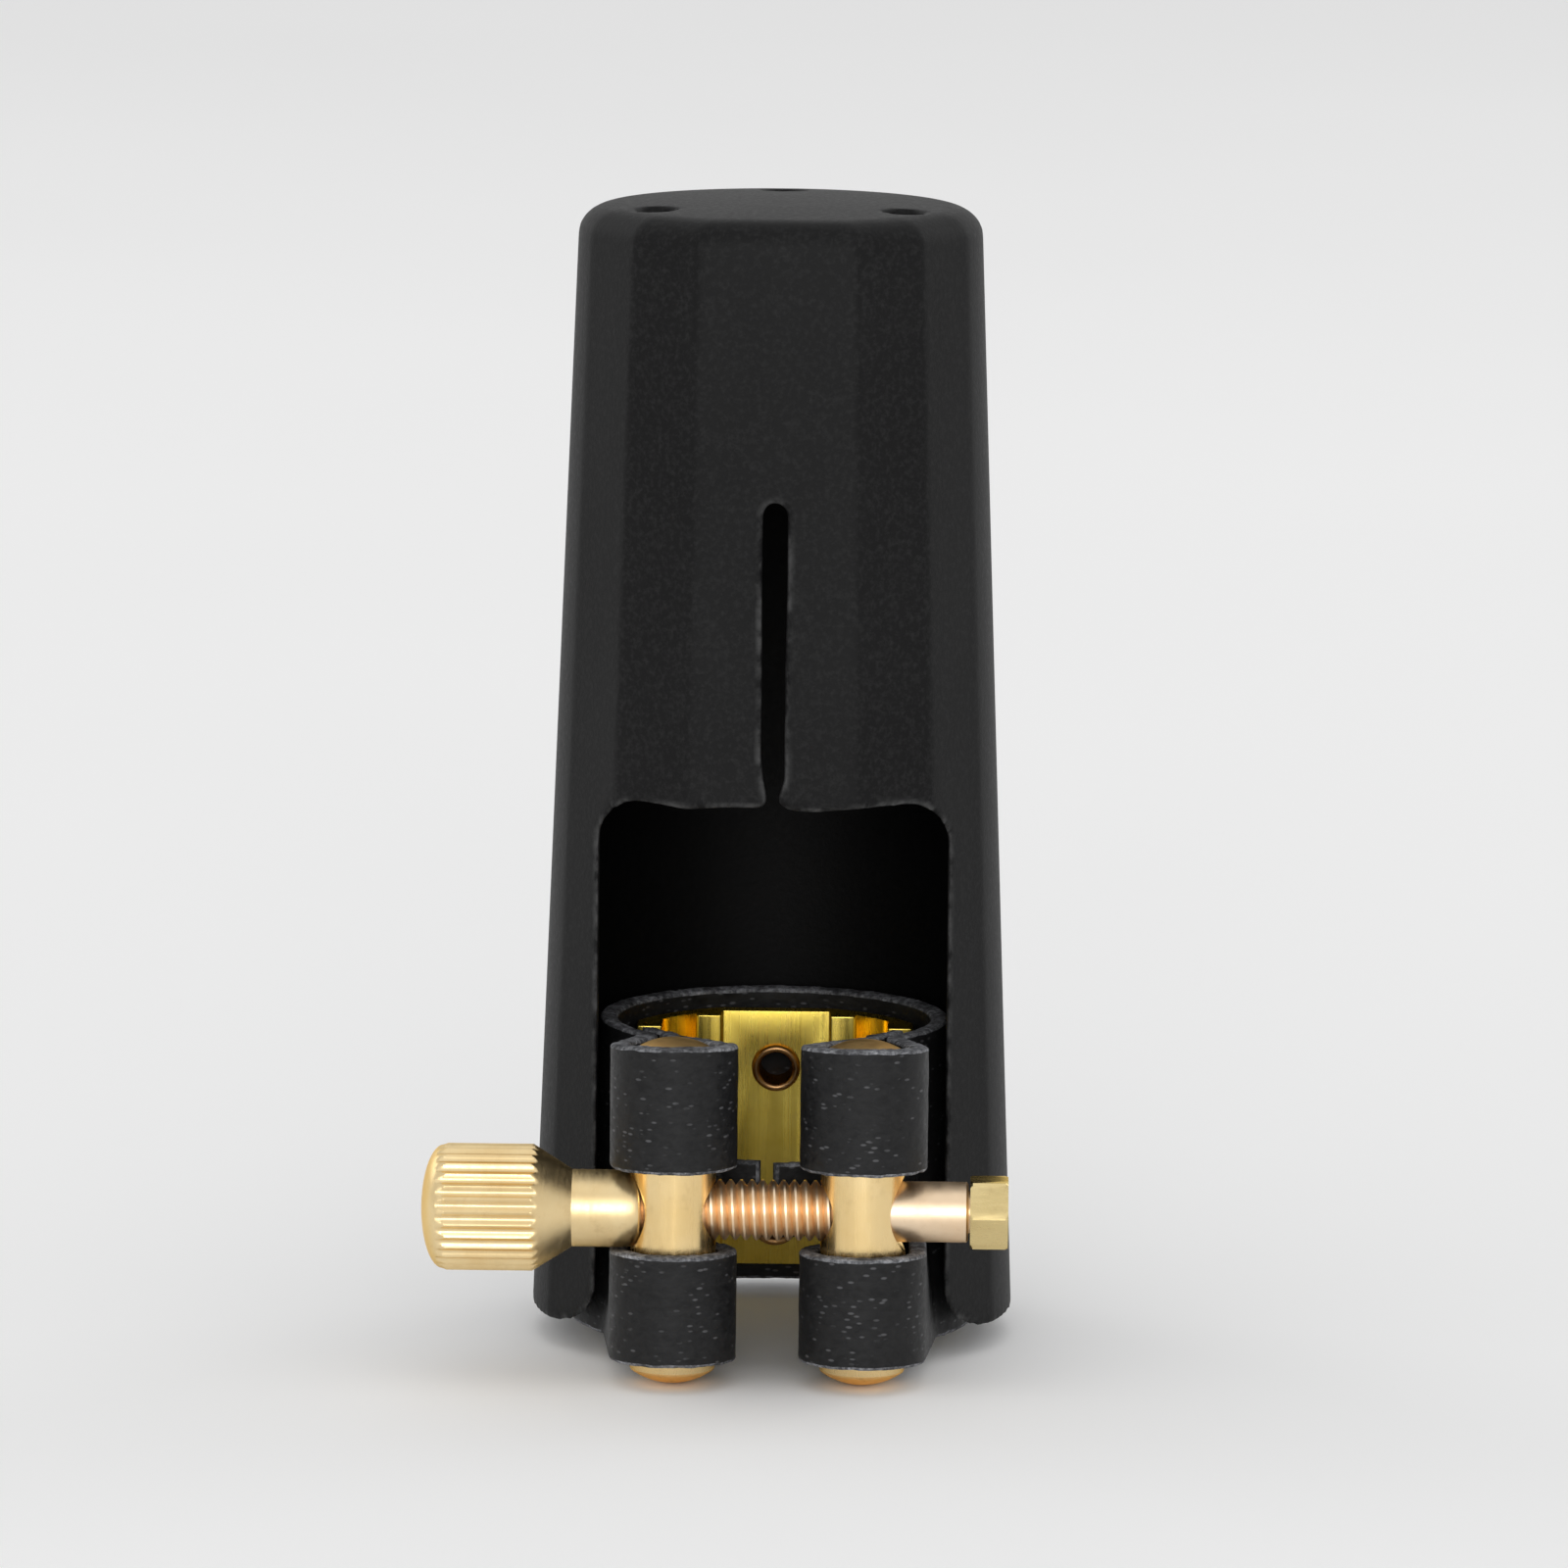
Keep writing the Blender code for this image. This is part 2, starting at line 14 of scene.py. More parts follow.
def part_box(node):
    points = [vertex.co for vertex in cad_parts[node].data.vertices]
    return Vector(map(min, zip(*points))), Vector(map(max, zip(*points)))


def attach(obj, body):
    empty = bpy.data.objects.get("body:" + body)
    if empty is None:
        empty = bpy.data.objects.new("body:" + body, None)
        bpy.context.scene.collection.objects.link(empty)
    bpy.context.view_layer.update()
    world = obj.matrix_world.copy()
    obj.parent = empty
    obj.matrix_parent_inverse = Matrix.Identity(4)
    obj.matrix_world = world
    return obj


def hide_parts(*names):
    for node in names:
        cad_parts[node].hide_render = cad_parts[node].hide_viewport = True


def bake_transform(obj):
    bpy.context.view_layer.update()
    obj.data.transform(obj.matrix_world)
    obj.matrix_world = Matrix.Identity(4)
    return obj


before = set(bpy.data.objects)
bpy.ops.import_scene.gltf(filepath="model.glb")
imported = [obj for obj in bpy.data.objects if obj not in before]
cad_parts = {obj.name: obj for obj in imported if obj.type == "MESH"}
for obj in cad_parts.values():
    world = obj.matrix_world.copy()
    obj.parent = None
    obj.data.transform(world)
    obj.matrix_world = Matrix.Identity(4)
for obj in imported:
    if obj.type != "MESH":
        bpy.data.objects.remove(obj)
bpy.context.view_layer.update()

MM = 0.001


# ---------------------------------------------------------------- sizes from the frame
def span(node):
    """A node's box as two lists of millimetres from the mouthpiece axis."""
    low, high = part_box(node)
    return [(a - b) / MM for a, b in zip(low, AXIS)], [(a - b) / MM for a, b in zip(high, AXIS)]


cap_low, cap_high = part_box("cap_shell")
CAP_BASE_R = (cap_high.x - cap_low.x) / 2 / MM
AXIS = Vector(((cap_low.x + cap_high.x) / 2, cap_high.y - CAP_BASE_R * MM, 0))
CAP_BASE_Z, CAP_TOP_Z = cap_low.z / MM, cap_high.z / MM

post_low, post_high = span("right_post")
POST_X, POST_Y = (post_low[0] + post_high[0]) / 2, (post_low[1] + post_high[1]) / 2
POST_R, POST_TOP_Z = (post_high[0] - post_low[0]) / 2, post_high[2]

stud_low, stud_high = span("stud")
STUD_R, SCREW_Z = (stud_high[2] - stud_low[2]) / 2, (stud_high[2] + stud_low[2]) / 2
STUD_START_X, STUD_END_X = stud_low[0], stud_high[0]
COLLAR_X = [corner[0] for corner in span("stud_collar")]

nut_low, nut_high = span("thumb_nut")
KNOB_END_X, KNOB_R = nut_low[0], (nut_high[2] - nut_low[2]) / 2

band_low, band_high = span("leather_band")
BAND_BASE_R, BAND_BASE_Z, BAND_TOP_Z = band_high[0], band_low[2], band_high[2]
PLATE_Z = [corner[2] for corner in span("reed_plate")]
PLATE_HALF_W = span("reed_plate")[1][0]
EYELETS_Z = [sum(corner[2] for corner in span(node)) / 2 for node in ("upper_eyelet", "lower_eyelet")]

# The end rings of a cutter and of a turned piece are this small, in place of a point
NEAR_AXIS = 0.001
POLE_R = 0.02


# ---------------------------------------------------------------- mesh helpers
def to_object(name, bm, materials):
    """Make an object in the frame's metres from a bmesh in millimetres."""
    bmesh.ops.scale(bm, vec=(MM, MM, MM), verts=bm.verts)
    bmesh.ops.translate(bm, vec=AXIS, verts=bm.verts)
    mesh = bpy.data.meshes.new(name)
    bm.to_mesh(mesh)
    bm.free()
    for material in materials:
        mesh.materials.append(material)
    obj = bpy.data.objects.new(name, mesh)
    bpy.context.scene.collection.objects.link(obj)
    return obj


def apply_modifiers(obj):
    """Replace an object's mesh with its evaluated one, so that no modifier is left."""
    graph = bpy.context.evaluated_depsgraph_get()
    mesh = bpy.data.meshes.new_from_object(obj.evaluated_get(graph))
    old = obj.data
    obj.modifiers.clear()
    obj.data = mesh
    mesh.name = old.name
    bpy.data.meshes.remove(old)
    return obj


def shade(obj, angle):
    """Smooth shading, except across edges sharper than an angle in degrees."""
    obj.data.shade_smooth()
    obj.data.set_sharp_from_angle(angle=math.radians(angle))
    return obj


def arc(centre, radius, start, end, steps):
    """Points along an arc, angles in degrees anticlockwise from the first axis."""
    angles = [math.radians(start + (end - start) * i / steps) for i in range(steps + 1)]
    return [(centre[0] + radius * math.cos(a), centre[1] + radius * math.sin(a)) for a in angles]


def prism(outline, low, high, plane="XY"):
    """A bmesh of a flat outline extruded along its plane's normal."""
    place = {"XY": lambda u, v, w: (u, v, w), "XZ": lambda u, v, w: (u, w, v)}[plane]
    bm = bmesh.new()
    base = bm.faces.new([bm.verts.new(place(u, v, low)) for u, v in outline])
    moved = bmesh.ops.extrude_face_region(bm, geom=[base])["geom"]
    verts = [item for item in moved if isinstance(item, bmesh.types.BMVert)]
    bmesh.ops.translate(bm, verts=verts, vec=place(0, 0, high - low))
    bmesh.ops.recalc_face_normals(bm, faces=bm.faces)
    return bm


def loft(rings, cap_start=True, cap_end=True):
    """A closed bmesh through rings of equal length."""
    bm = bmesh.new()
    rows = [[bm.verts.new(point) for point in ring] for ring in rings]
    count = len(rows[0])
    for first, second in zip(rows, rows[1:]):
        for i in range(count):
            j = (i + 1) % count
            bm.faces.new((first[i], first[j], second[j], second[i]))
    if cap_start:
        bm.faces.new(rows[0])
    if cap_end:
        bm.faces.new(rows[-1])
    bmesh.ops.recalc_face_normals(bm, faces=bm.faces)
    return bm


def turned(profile, steps, matrix, closed=False):
    """A bmesh turned about Z from (radius, height) points, then placed by a matrix."""
    rings = []
    for radius, height in profile:
        turns = [2 * math.pi * i / steps for i in range(steps)]
        ring = [(radius * math.cos(t), radius * math.sin(t), height) for t in turns]
        rings.append([matrix @ Vector(point) for point in ring])
    if not closed:
        return loft(rings)
    bm = loft(rings + [rings[0]], False, False)
    bmesh.ops.remove_doubles(bm, verts=bm.verts, dist=1e-5)
    bmesh.ops.recalc_face_normals(bm, faces=bm.faces)
    return bm


def pin(start, end, radius, end_radius=None, tip=0.0):
    """The profile of a plain or tapered pin, with a drill's tip at its end if it has one."""
    return [(NEAR_AXIS, start), (radius, start), (end_radius or radius, end), (NEAR_AXIS, end + tip)]


def lying():
    """Lays a turned piece's Z axis along the screw's +X."""
    return Matrix.Translation((0, POST_Y, SCREW_Z)) @ Matrix.Rotation(math.pi / 2, 4, "Y")


def cut(obj, *cutters):
    """Cut an object with bmesh cutters, and apply the cuts."""
    made = []
    for number, bm in enumerate(cutters):
        cutter = to_object(f"{obj.name}_cutter_{number}", bm, [])
        modifier = obj.modifiers.new("cut", "BOOLEAN")
        modifier.operation = "DIFFERENCE"
        modifier.solver = "EXACT"
        modifier.object = cutter
        made.append(cutter)
    apply_modifiers(obj)
    for cutter in made:
        mesh = cutter.data
        bpy.data.objects.remove(cutter)
        bpy.data.meshes.remove(mesh)
    return obj


def smoothstep(t):
    t = min(1.0, max(0.0, t))
    return t * t * (3 - 2 * t)


# ---------------------------------------------------------------- materials
class Nodes:
    """A small helper for writing a Principled material's nodes."""

    def __init__(self, name):
        self.material = bpy.data.materials.new(name)
        self.material.use_nodes = True
        self.tree = self.material.node_tree
        self.shader = self.tree.nodes["Principled BSDF"]
        self.coords = self.tree.nodes.new("ShaderNodeTexCoord")

    def set(self, **values):
        for key, value in values.items():
            self.shader.inputs[key.replace("_", " ")].default_value = value

    def link(self, out, into):
        self.tree.links.new(out, into)

    def mapped(self, scale):
        node = self.tree.nodes.new("ShaderNodeMapping")
        node.inputs["Scale"].default_value = scale
        self.link(self.coords.outputs["Object"], node.inputs["Vector"])
        return node.outputs["Vector"]

    def noise(self, scale, detail=3.0, roughness=0.5, stretch=(1, 1, 1), distortion=0.0):
        node = self.tree.nodes.new("ShaderNodeTexNoise")
        node.inputs["Scale"].default_value = scale
        node.inputs["Detail"].default_value = detail
        node.inputs["Roughness"].default_value = roughness
        node.inputs["Distortion"].default_value = distortion
        self.link(self.mapped(stretch), node.inputs["Vector"])
        return node.outputs["Fac"]

    def cells(self, scale, stretch, feature="F1"):
        node = self.tree.nodes.new("ShaderNodeTexVoronoi")
        node.feature = feature
        node.inputs["Scale"].default_value = scale
        self.link(self.mapped(stretch), node.inputs["Vector"])
        return node.outputs["Distance"]

    def span(self, value, low, high, to_low=0.0, to_high=1.0):
        node = self.tree.nodes.new("ShaderNodeMapRange")
        node.inputs["From Min"].default_value = low
        node.inputs["From Max"].default_value = high
        node.inputs["To Min"].default_value = to_low
        node.inputs["To Max"].default_value = to_high
        self.link(value, node.inputs["Value"])
        return node.outputs["Result"]

    def ramp(self, value, *stops):
        node = self.tree.nodes.new("ShaderNodeValToRGB")
        elements = node.color_ramp.elements
        while len(elements) < len(stops):
            elements.new(0.5)
        for element, (place, colour) in zip(elements, stops):
            element.position = place
            element.color = (*colour, 1.0)
        self.link(value, node.inputs["Fac"])
        return node.outputs["Color"]

    def mix(self, factor, first, second, blend="MIX"):
        node = self.tree.nodes.new("ShaderNodeMix")
        node.data_type = "RGBA"
        node.blend_type = blend
        for socket, value in ((node.inputs[0], factor), (node.inputs[6], first), (node.inputs[7], second)):
            if isinstance(value, (int, float, tuple)):
                socket.default_value = (*value, 1.0) if isinstance(value, tuple) else value
            else:
                self.link(value, socket)
        return node.outputs[2]

    def attribute(self, name):
        node = self.tree.nodes.new("ShaderNodeAttribute")
        node.attribute_name = name
        return node.outputs["Fac"]

    def math(self, operation, first, second):
        node = self.tree.nodes.new("ShaderNodeMath")
        node.operation = operation
        for socket, value in zip(node.inputs, (first, second)):
            if isinstance(value, (int, float)):
                socket.default_value = value
            else:
                self.link(value, socket)
        return node.outputs[0]

    def bump(self, height, distance, strength=1.0, below=None):
        node = self.tree.nodes.new("ShaderNodeBump")
        node.inputs["Strength"].default_value = strength
        node.inputs["Distance"].default_value = distance
        self.link(height, node.inputs["Height"])
        if below is not None:
            self.link(below, node.inputs["Normal"])
        return node.outputs["Normal"]


def moulded_plastic():
    """Matt black plastic: fine spark-eroded grain, faint flow marks, a painted highlight along the window's
    cut edges and painted shade on the inner wall.
    """
    n = Nodes("moulded_black_plastic")
    n.set(Specular_IOR_Level=0.115, IOR=1.49)
    cloud = n.noise(90, 4, 0.6, stretch=(1, 1, 0.5))
    grain = n.noise(2600, 4, 0.7)
    base = n.ramp(cloud, (0.3, (0.0052, 0.0052, 0.0054)), (0.7, (0.0082, 0.0082, 0.0084)))
    spots = n.ramp(grain, (0.46, (0.0, 0.0, 0.0)), (0.72, (0.011, 0.011, 0.011)))
    grained = n.mix(1.0, base, spots, "ADD")
    # A painted highlight: a pale, ragged line along the window's cut edges
    ragged = n.math("MULTIPLY", n.attribute("painted_edge_highlight"), n.span(n.noise(600, 4, 0.65), 0.42, 0.64))
    highlighted = n.mix(ragged, grained, (0.075, 0.075, 0.075))
    # Painted shade: the inner wall, below the ceiling, is darkened nearly to black
    shaded = n.mix(n.attribute("inside"), highlighted, (0.0015, 0.0015, 0.0015))
    n.link(shaded, n.shader.inputs["Base Color"])
    n.link(n.span(grain, 0.3, 0.7, 0.46, 0.60), n.shader.inputs["Roughness"])
    wave = n.bump(n.noise(160, 2, 0.5), 0.00016, 0.35)
    n.link(n.bump(grain, 0.00004, 0.7, wave), n.shader.inputs["Normal"])
    return n.material


def grained_leather():
    """Black leather: pebbled and creased, with many small pale specks painted in as highlights on the grain.
    """
    n = Nodes("black_leather")
    n.set(Specular_IOR_Level=0.20, IOR=1.5)
    pebble = n.cells(1500, (1, 1, 1.35), "SMOOTH_F1")
    crease = n.noise(1500, 4, 0.6, stretch=(1, 1, 1.5), distortion=0.6)
    glint_cells = n.cells(1250, (0.8, 0.8, 2.0))
    glint_spread = n.noise(620, 2, 0.5)
    # marks: painted highlights, small pale specks on the grain
    marks = n.math("MULTIPLY", n.span(glint_cells, 0.26, 0.15), n.span(glint_spread, 0.42, 0.56))
    base = n.ramp(crease, (0.3, (0.0075, 0.0075, 0.008)), (0.75, (0.019, 0.019, 0.0195)))
    n.link(n.mix(marks, base, (0.080, 0.080, 0.084)), n.shader.inputs["Base Color"])
    n.link(n.span(crease, 0.3, 0.7, 0.42, 0.60), n.shader.inputs["Roughness"])
    soft = n.bump(n.noise(420, 2, 0.5), 0.00012, 0.5)
    fine = n.bump(crease, 0.00006, 0.6, soft)
    n.link(n.bump(pebble, 0.00006, 0.6, fine), n.shader.inputs["Normal"])
    return n.material


def cut_leather():
    """The strap's cut edge: grey, fibrous and matt."""
    n = Nodes("raw_leather_edge")
    n.set(Specular_IOR_Level=0.2, Roughness=0.9)
    fibre = n.noise(2600, 4, 0.7)
    tone = n.noise(500, 3, 0.6)
    base = n.ramp(tone, (0.30, (0.060, 0.060, 0.063)), (0.60, (0.27, 0.275, 0.29)))
    threads = n.ramp(fibre, (0.42, (0.35, 0.35, 0.36)), (0.72, (1.5, 1.5, 1.5)))
    n.link(n.mix(1.0, base, threads, "MULTIPLY"), n.shader.inputs["Base Color"])
    n.link(n.bump(fibre, 0.00012, 0.8), n.shader.inputs["Normal"])
    return n.material


def brass(name, light, dark, rough, marks, strength=0.35, stain=(0.55, 0.36, 0.16), stains=0.25):
    """Brass with tool marks drawn out along one direction and a little tarnish.

    marks is how finely the marks repeat along X, Y and Z, and strength how deep they look.
    stain is the tarnish's colour, and stains how much of it shows.
    """
    n = Nodes(name)
    n.set(Metallic=1.0, Specular_Tint=(*light, 1.0))
    cloud = n.noise(240, 4, 0.6)
    lines = n.noise(1.0, 3, 0.6, stretch=marks)
    tarnish = n.noise(900, 5, 0.7)
    base = n.ramp(cloud, (0.3, dark), (0.7, light))
    spots = n.math("MULTIPLY", n.span(tarnish, 0.56, 0.74), stains)
    n.link(n.mix(spots, base, stain), n.shader.inputs["Base Color"])
    n.link(n.span(lines, 0.3, 0.7, rough - 0.05, rough + 0.07), n.shader.inputs["Roughness"])
    fine = n.bump(n.noise(5200, 3, 0.6), 0.00001, 0.35)
    n.link(n.bump(lines, 0.00002, strength, fine), n.shader.inputs["Normal"])
    return n.material


PLASTIC = moulded_plastic()
HIDE = grained_leather()
RAW_EDGE = cut_leather()
POST_BRASS = brass("satin_brass_post", (0.93, 0.71, 0.37), (0.86, 0.62, 0.28), 0.24,
                   marks=(2600, 2600, 90), strength=0.14)
DOME_BRASS = brass("aged_brass_dome", (0.95, 0.66, 0.29), (0.82, 0.52, 0.21), 0.44,
                   marks=(900, 900, 900), stain=(0.34, 0.20, 0.09), stains=0.6)
NUT_BRASS = brass("satin_brass_nut", (0.93, 0.74, 0.42), (0.84, 0.62, 0.31), 0.33,
                  marks=(4800, 900, 900), strength=0.5)
STUD_BRASS = brass("pale_brass_stud", (0.96, 0.76, 0.54), (0.90, 0.67, 0.44), 0.36,
                   marks=(1500, 300, 300), strength=0.12)
COLLAR_BRASS = brass("yellow_brass_collar", (0.84, 0.68, 0.34), (0.72, 0.56, 0.26), 0.24,
                     marks=(700, 3800, 3800), strength=0.16)
PLATE_BRASS = brass("drawn_brass_plate", (0.90, 0.70, 0.15), (0.80, 0.58, 0.09), 0.27,
                    marks=(2600, 300, 30), strength=0.45)
BRONZE = brass("antique_bronze", (0.58, 0.34, 0.15), (0.38, 0.20, 0.08), 0.30,
               marks=(900, 900, 900), stain=(0.05, 0.025, 0.015), stains=0.8)


# ---------------------------------------------------------------- cap
CAP_TOP_R = 13.45
CAP_WALL = 1.7
CAP_RIM_R = 1.6
CAP_FACETS = ((-67.5, -45.0), (-45.0, -22.5), (-22.5, 22.5), (22.5, 45.0), (45.0, 67.5))
CAP_VOXEL = 0.27

# The rounded edge of the closed top: its centre from the top's radius and height, its two
# half axes, and the radii at which the top has fallen by so much
CROWN_INSET = (2.4, 2.2)
CROWN_R = (2.42, 1.95)
CROWN_FALLS = ((8.0, 0.13), (4.0, 0.03), (0.05, 0.0))
CEILING_FILLET = 0.6

# The window, whose top edge sags on both sides: (middle, half width, depth)
WINDOW_HALF_W = 11.6
WINDOW_TOP_Z = 37.7
WINDOW_CORNER = (2.9, 3.1)
WINDOW_BACK_Y = -3
FOOT_FLARE_R = 3.4
TOP_EDGE_XS = (7.4, 6.0, 4.6, 3.4, 2.6, 1.8, 1.1)
TOP_EDGE_END_X = 8
RIGHT_SAG = (2.6, 4.2, 0.30)
LEFT_SAG = (5.6, 2.2, 0.2)

# The slit's uneven sides, as (x, height above the window), and its round end
SLIT_TOP_Z = 57.9
SLIT_END_R = 0.82
SLIT_END_DROP = 0.8
RIGHT_LIP = ((0.48, 0.25), (0.36, 0.7), (0.5, 1.15), (0.74, 1.9), (0.72, 8.3), (0.83, 15.3))
LEFT_LIP = ((-0.40, 0.15), (-0.42, 1.0), (-0.6, 1.7), (-0.80, 3.4), (-0.78, 8.3), (-0.82, 15.3))

VENT_R = 1.32
VENT_PITCH_R = 9.4
VENT_ANGLES = (90, 210, 330)
VENT_POINTS = 28

# How far the painted edge highlight reaches from a cut edge, along the surface and inwards, and
# how deep the painted shade on the inner wall starts, below the ceiling's margin
EDGE_HIGHLIGHT_REACH = 0.38
EDGE_HIGHLIGHT_DEPTH = 0.35
INSIDE_DEPTH = 0.8
CEILING_MARGIN = 1.5


def facet_factor(angle):
    """How far the cap's section lies inside its circle, by degrees from the front."""
    for low, high in CAP_FACETS:
        if low <= angle <= high:
            half = math.radians(high - low) / 2
            return math.cos(half) / math.cos(math.radians(angle - (low + high) / 2))
    return 1.0


def cap_ring(radius, height, sectors=192):
    """One section of the cap, round with flats in front."""
    ring = []
    for i in range(sectors):
        angle = -180 + 360 * i / sectors
        reach, turn = radius * facet_factor(angle), math.radians(angle)
        ring.append((reach * math.sin(turn), -reach * math.cos(turn), height))
    return ring


def cap_solid():
    """The closed cap: inside from its ceiling down to the foot, then up the outside."""
    shoulder = CAP_TOP_Z - CAP_RIM_R
    slope = (CAP_BASE_R - CAP_TOP_R) / (shoulder - CAP_BASE_Z)
    steps = 30
    heights = [CAP_BASE_Z + (shoulder - CAP_BASE_Z) * i / steps for i in range(steps)]
    outside = [(CAP_BASE_R - slope * (z - CAP_BASE_Z), z) for z in heights]
    crown_r, crown_z = CAP_TOP_R - CROWN_INSET[0], CAP_TOP_Z - CROWN_INSET[1]
    rim = [(crown_r + CROWN_R[0] * u, crown_z + CROWN_R[1] * v) for u, v in arc((0, 0), 1, 0, 84, 10)]
    rim += [(r, CAP_TOP_Z - fall) for r, fall in CROWN_FALLS]
    inside = [(r - CAP_WALL, z) for r, z in outside]
    corner = (CAP_TOP_R - CAP_WALL - CEILING_FILLET, CAP_TOP_Z - CAP_WALL - CEILING_FILLET)
    fillet = arc(corner, CEILING_FILLET, 0, 90, 4)
    rings = [cap_ring(r, z) for r, z in reversed(inside + fillet)]
    rings += [cap_ring(r, z) for r, z in outside + rim]
    return loft(rings)


def sag(x, middle, half_width, depth):
    """How far an edge hangs down at x."""
    return depth * smoothstep(1 - abs(x - middle) / half_width)


def window_outline():
    """The window's sides and corners, and its wavering top edge up to the slit's lips."""
    wide, foot = WINDOW_HALF_W + FOOT_FLARE_R, CAP_BASE_Z - 2
    right = [(wide, foot)] + arc((wide, CAP_BASE_Z + FOOT_FLARE_R), FOOT_FLARE_R, 270, 180, 10)
    across, up = WINDOW_CORNER
    for u, v in arc((0, 0), 1, 0, 90, 12):
        right.append((WINDOW_HALF_W - across * (1 - u), WINDOW_TOP_Z + 0.1 - up * (1 - v)))
    for x in TOP_EDGE_XS:
        right.append((x, WINDOW_TOP_Z + 0.1 - sag(x, *RIGHT_SAG)))
    left = []
    for x, z in right:
        left.append((-x, z if x > TOP_EDGE_END_X else WINDOW_TOP_Z + 0.05 - sag(x, *LEFT_SAG)))
    right += [(x, WINDOW_TOP_Z + rise) for x, rise in RIGHT_LIP]
    left += [(x, WINDOW_TOP_Z + rise) for x, rise in LEFT_LIP]
    end = arc((0, SLIT_TOP_Z - SLIT_END_DROP), SLIT_END_R, 0, 180, 10)
    return right + end + list(reversed(left))


def vent_outline(angle):
    """A round vent with a slightly ragged edge."""
    x, y = arc((0, 0), VENT_PITCH_R, angle, angle, 1)[0]
    points = []
    for i in range(VENT_POINTS):
        turn = 2 * math.pi * i / VENT_POINTS
        ragged = VENT_R + 0.05 * math.sin(3 * turn + angle) + 0.03 * math.sin(7 * turn)
        points.append((x + ragged * math.cos(turn), y + ragged * math.sin(turn)))
    return points


def mark_points(mesh, name, values):
    mesh.attributes.new(name, "FLOAT", "POINT").data.foreach_set("value", values.astype(np.float32))


def mark_cap(mesh):
    """Note how near each point lies to a cut edge, for the painted edge highlight, and how far inside the
    wall, for the painted shade on the inner wall.
    """
    co = np.empty(3 * len(mesh.vertices), dtype=np.float32)
    mesh.vertices.foreach_get("co", co)
    co = (co.reshape(-1, 3) - np.array(AXIS)) / MM
    slope = (CAP_BASE_R - CAP_TOP_R) / (CAP_TOP_Z - CAP_RIM_R - CAP_BASE_Z)
    turn = np.degrees(np.arctan2(co[:, 0], -co[:, 1]))
    inset = np.array([facet_factor(angle) for angle in turn])
    depth = inset * (CAP_BASE_R - slope * (co[:, 2] - CAP_BASE_Z)) - np.hypot(co[:, 0], co[:, 1])
    outline = np.array(window_outline())
    nearest = np.full(len(co), np.inf)
    for first, second in zip(outline, np.roll(outline, -1, axis=0)):
        along = second - first
        offset = co[:, (0, 2)] - first
        share = np.clip(offset @ along / (along @ along), 0, 1)
        nearest = np.minimum(nearest, np.hypot(*(offset - share[:, None] * along).T))
    painted_edge_highlight = np.clip(1.2 - nearest / EDGE_HIGHLIGHT_REACH, 0, 1) * np.clip(1.3 - depth / EDGE_HIGHLIGHT_DEPTH, 0, 1)
    painted_edge_highlight[co[:, 1] > WINDOW_BACK_Y] = 0
    mark_points(mesh, "painted_edge_highlight", painted_edge_highlight)
    # The mask for the painted shade on the inner wall
    mark_points(mesh, "inside", np.clip(depth - INSIDE_DEPTH, 0, 1) * (co[:, 2] < CAP_TOP_Z - CEILING_MARGIN))


def make_cap():
    """The cap's solid with its cuts, remeshed so that every edge is softly moulded."""
    cap = to_object("cap_body", cap_solid(), [PLASTIC])
    window = prism(window_outline(), -2 * CAP_BASE_R, WINDOW_BACK_Y, "XZ")
    vents = [prism(vent_outline(angle), CAP_TOP_Z - 4, CAP_TOP_Z + 1) for angle in VENT_ANGLES]
    cut(cap, window, *vents)
    remesh = cap.modifiers.new("remesh", "REMESH")
    remesh.mode = "VOXEL"
    remesh.voxel_size = CAP_VOXEL * MM
    soften = cap.modifiers.new("soften", "SMOOTH")
    soften.factor = 0.5
    soften.iterations = 4
    apply_modifiers(cap)
    if not cap.data.materials:
        cap.data.materials.append(PLASTIC)
    mark_cap(cap.data)
    cap.data.shade_smooth()
    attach(cap, "cap")
    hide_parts("cap_shell")


# ---------------------------------------------------------------- leather strap
LEATHER = 1.15
BAND_TOP_R = 11.7
BAND_TAPER = (BAND_BASE_R - BAND_TOP_R) / (BAND_TOP_Z - BAND_BASE_Z)
SPLIT_Y = -7.65
RISE = 0.055
STRIPS = {"lower": (1.0, 8.4), "tongue": (8.7, 13.6), "upper": (13.9, 22.1)}
TONGUES = {"left": (-0.65, 0.15), "right": (0.3, 1.1)}
CREASE_RISE = 0.1
LOOP_R = 4.2

# Where a loop's end comes back to the band, from the split, and how it lies inside it
LOOP_END_X = 1.18
LOOP_END_Y = 0.15
LOOP_END_GAP = 0.03
LOOP_END_TURN = 0.035
LOOP_END_STEPS = 8

ROW_HEIGHT = 0.42
BAND_STEPS = 72
LOOP_STEPS = 44
TONGUE_STEPS = 36
EDGE_BEVEL = 0.22
EDGE_WAVE = 0.05
FACE_WAVE = 0.018


def band_radius(z):
    """The band's outside radius at a height."""
    return BAND_BASE_R - BAND_TAPER * (z - BAND_BASE_Z)


def crease_z(level):
    """Height of a row where it leaves the band: the top edge dips there."""
    low, high = STRIPS["upper"]
    return level if level < low else low + (level - low) * (BAND_TOP_Z + CREASE_RISE - low) / (high - low)


def strap_z(level, y):
    """Height of a row in front of the split, where the strap climbs towards the posts."""
    start, end = crease_z(level), level + RISE * (SPLIT_Y - POST_Y)
    return start + (end - start) * max(0.0, SPLIT_Y - y) / (SPLIT_Y - POST_Y)


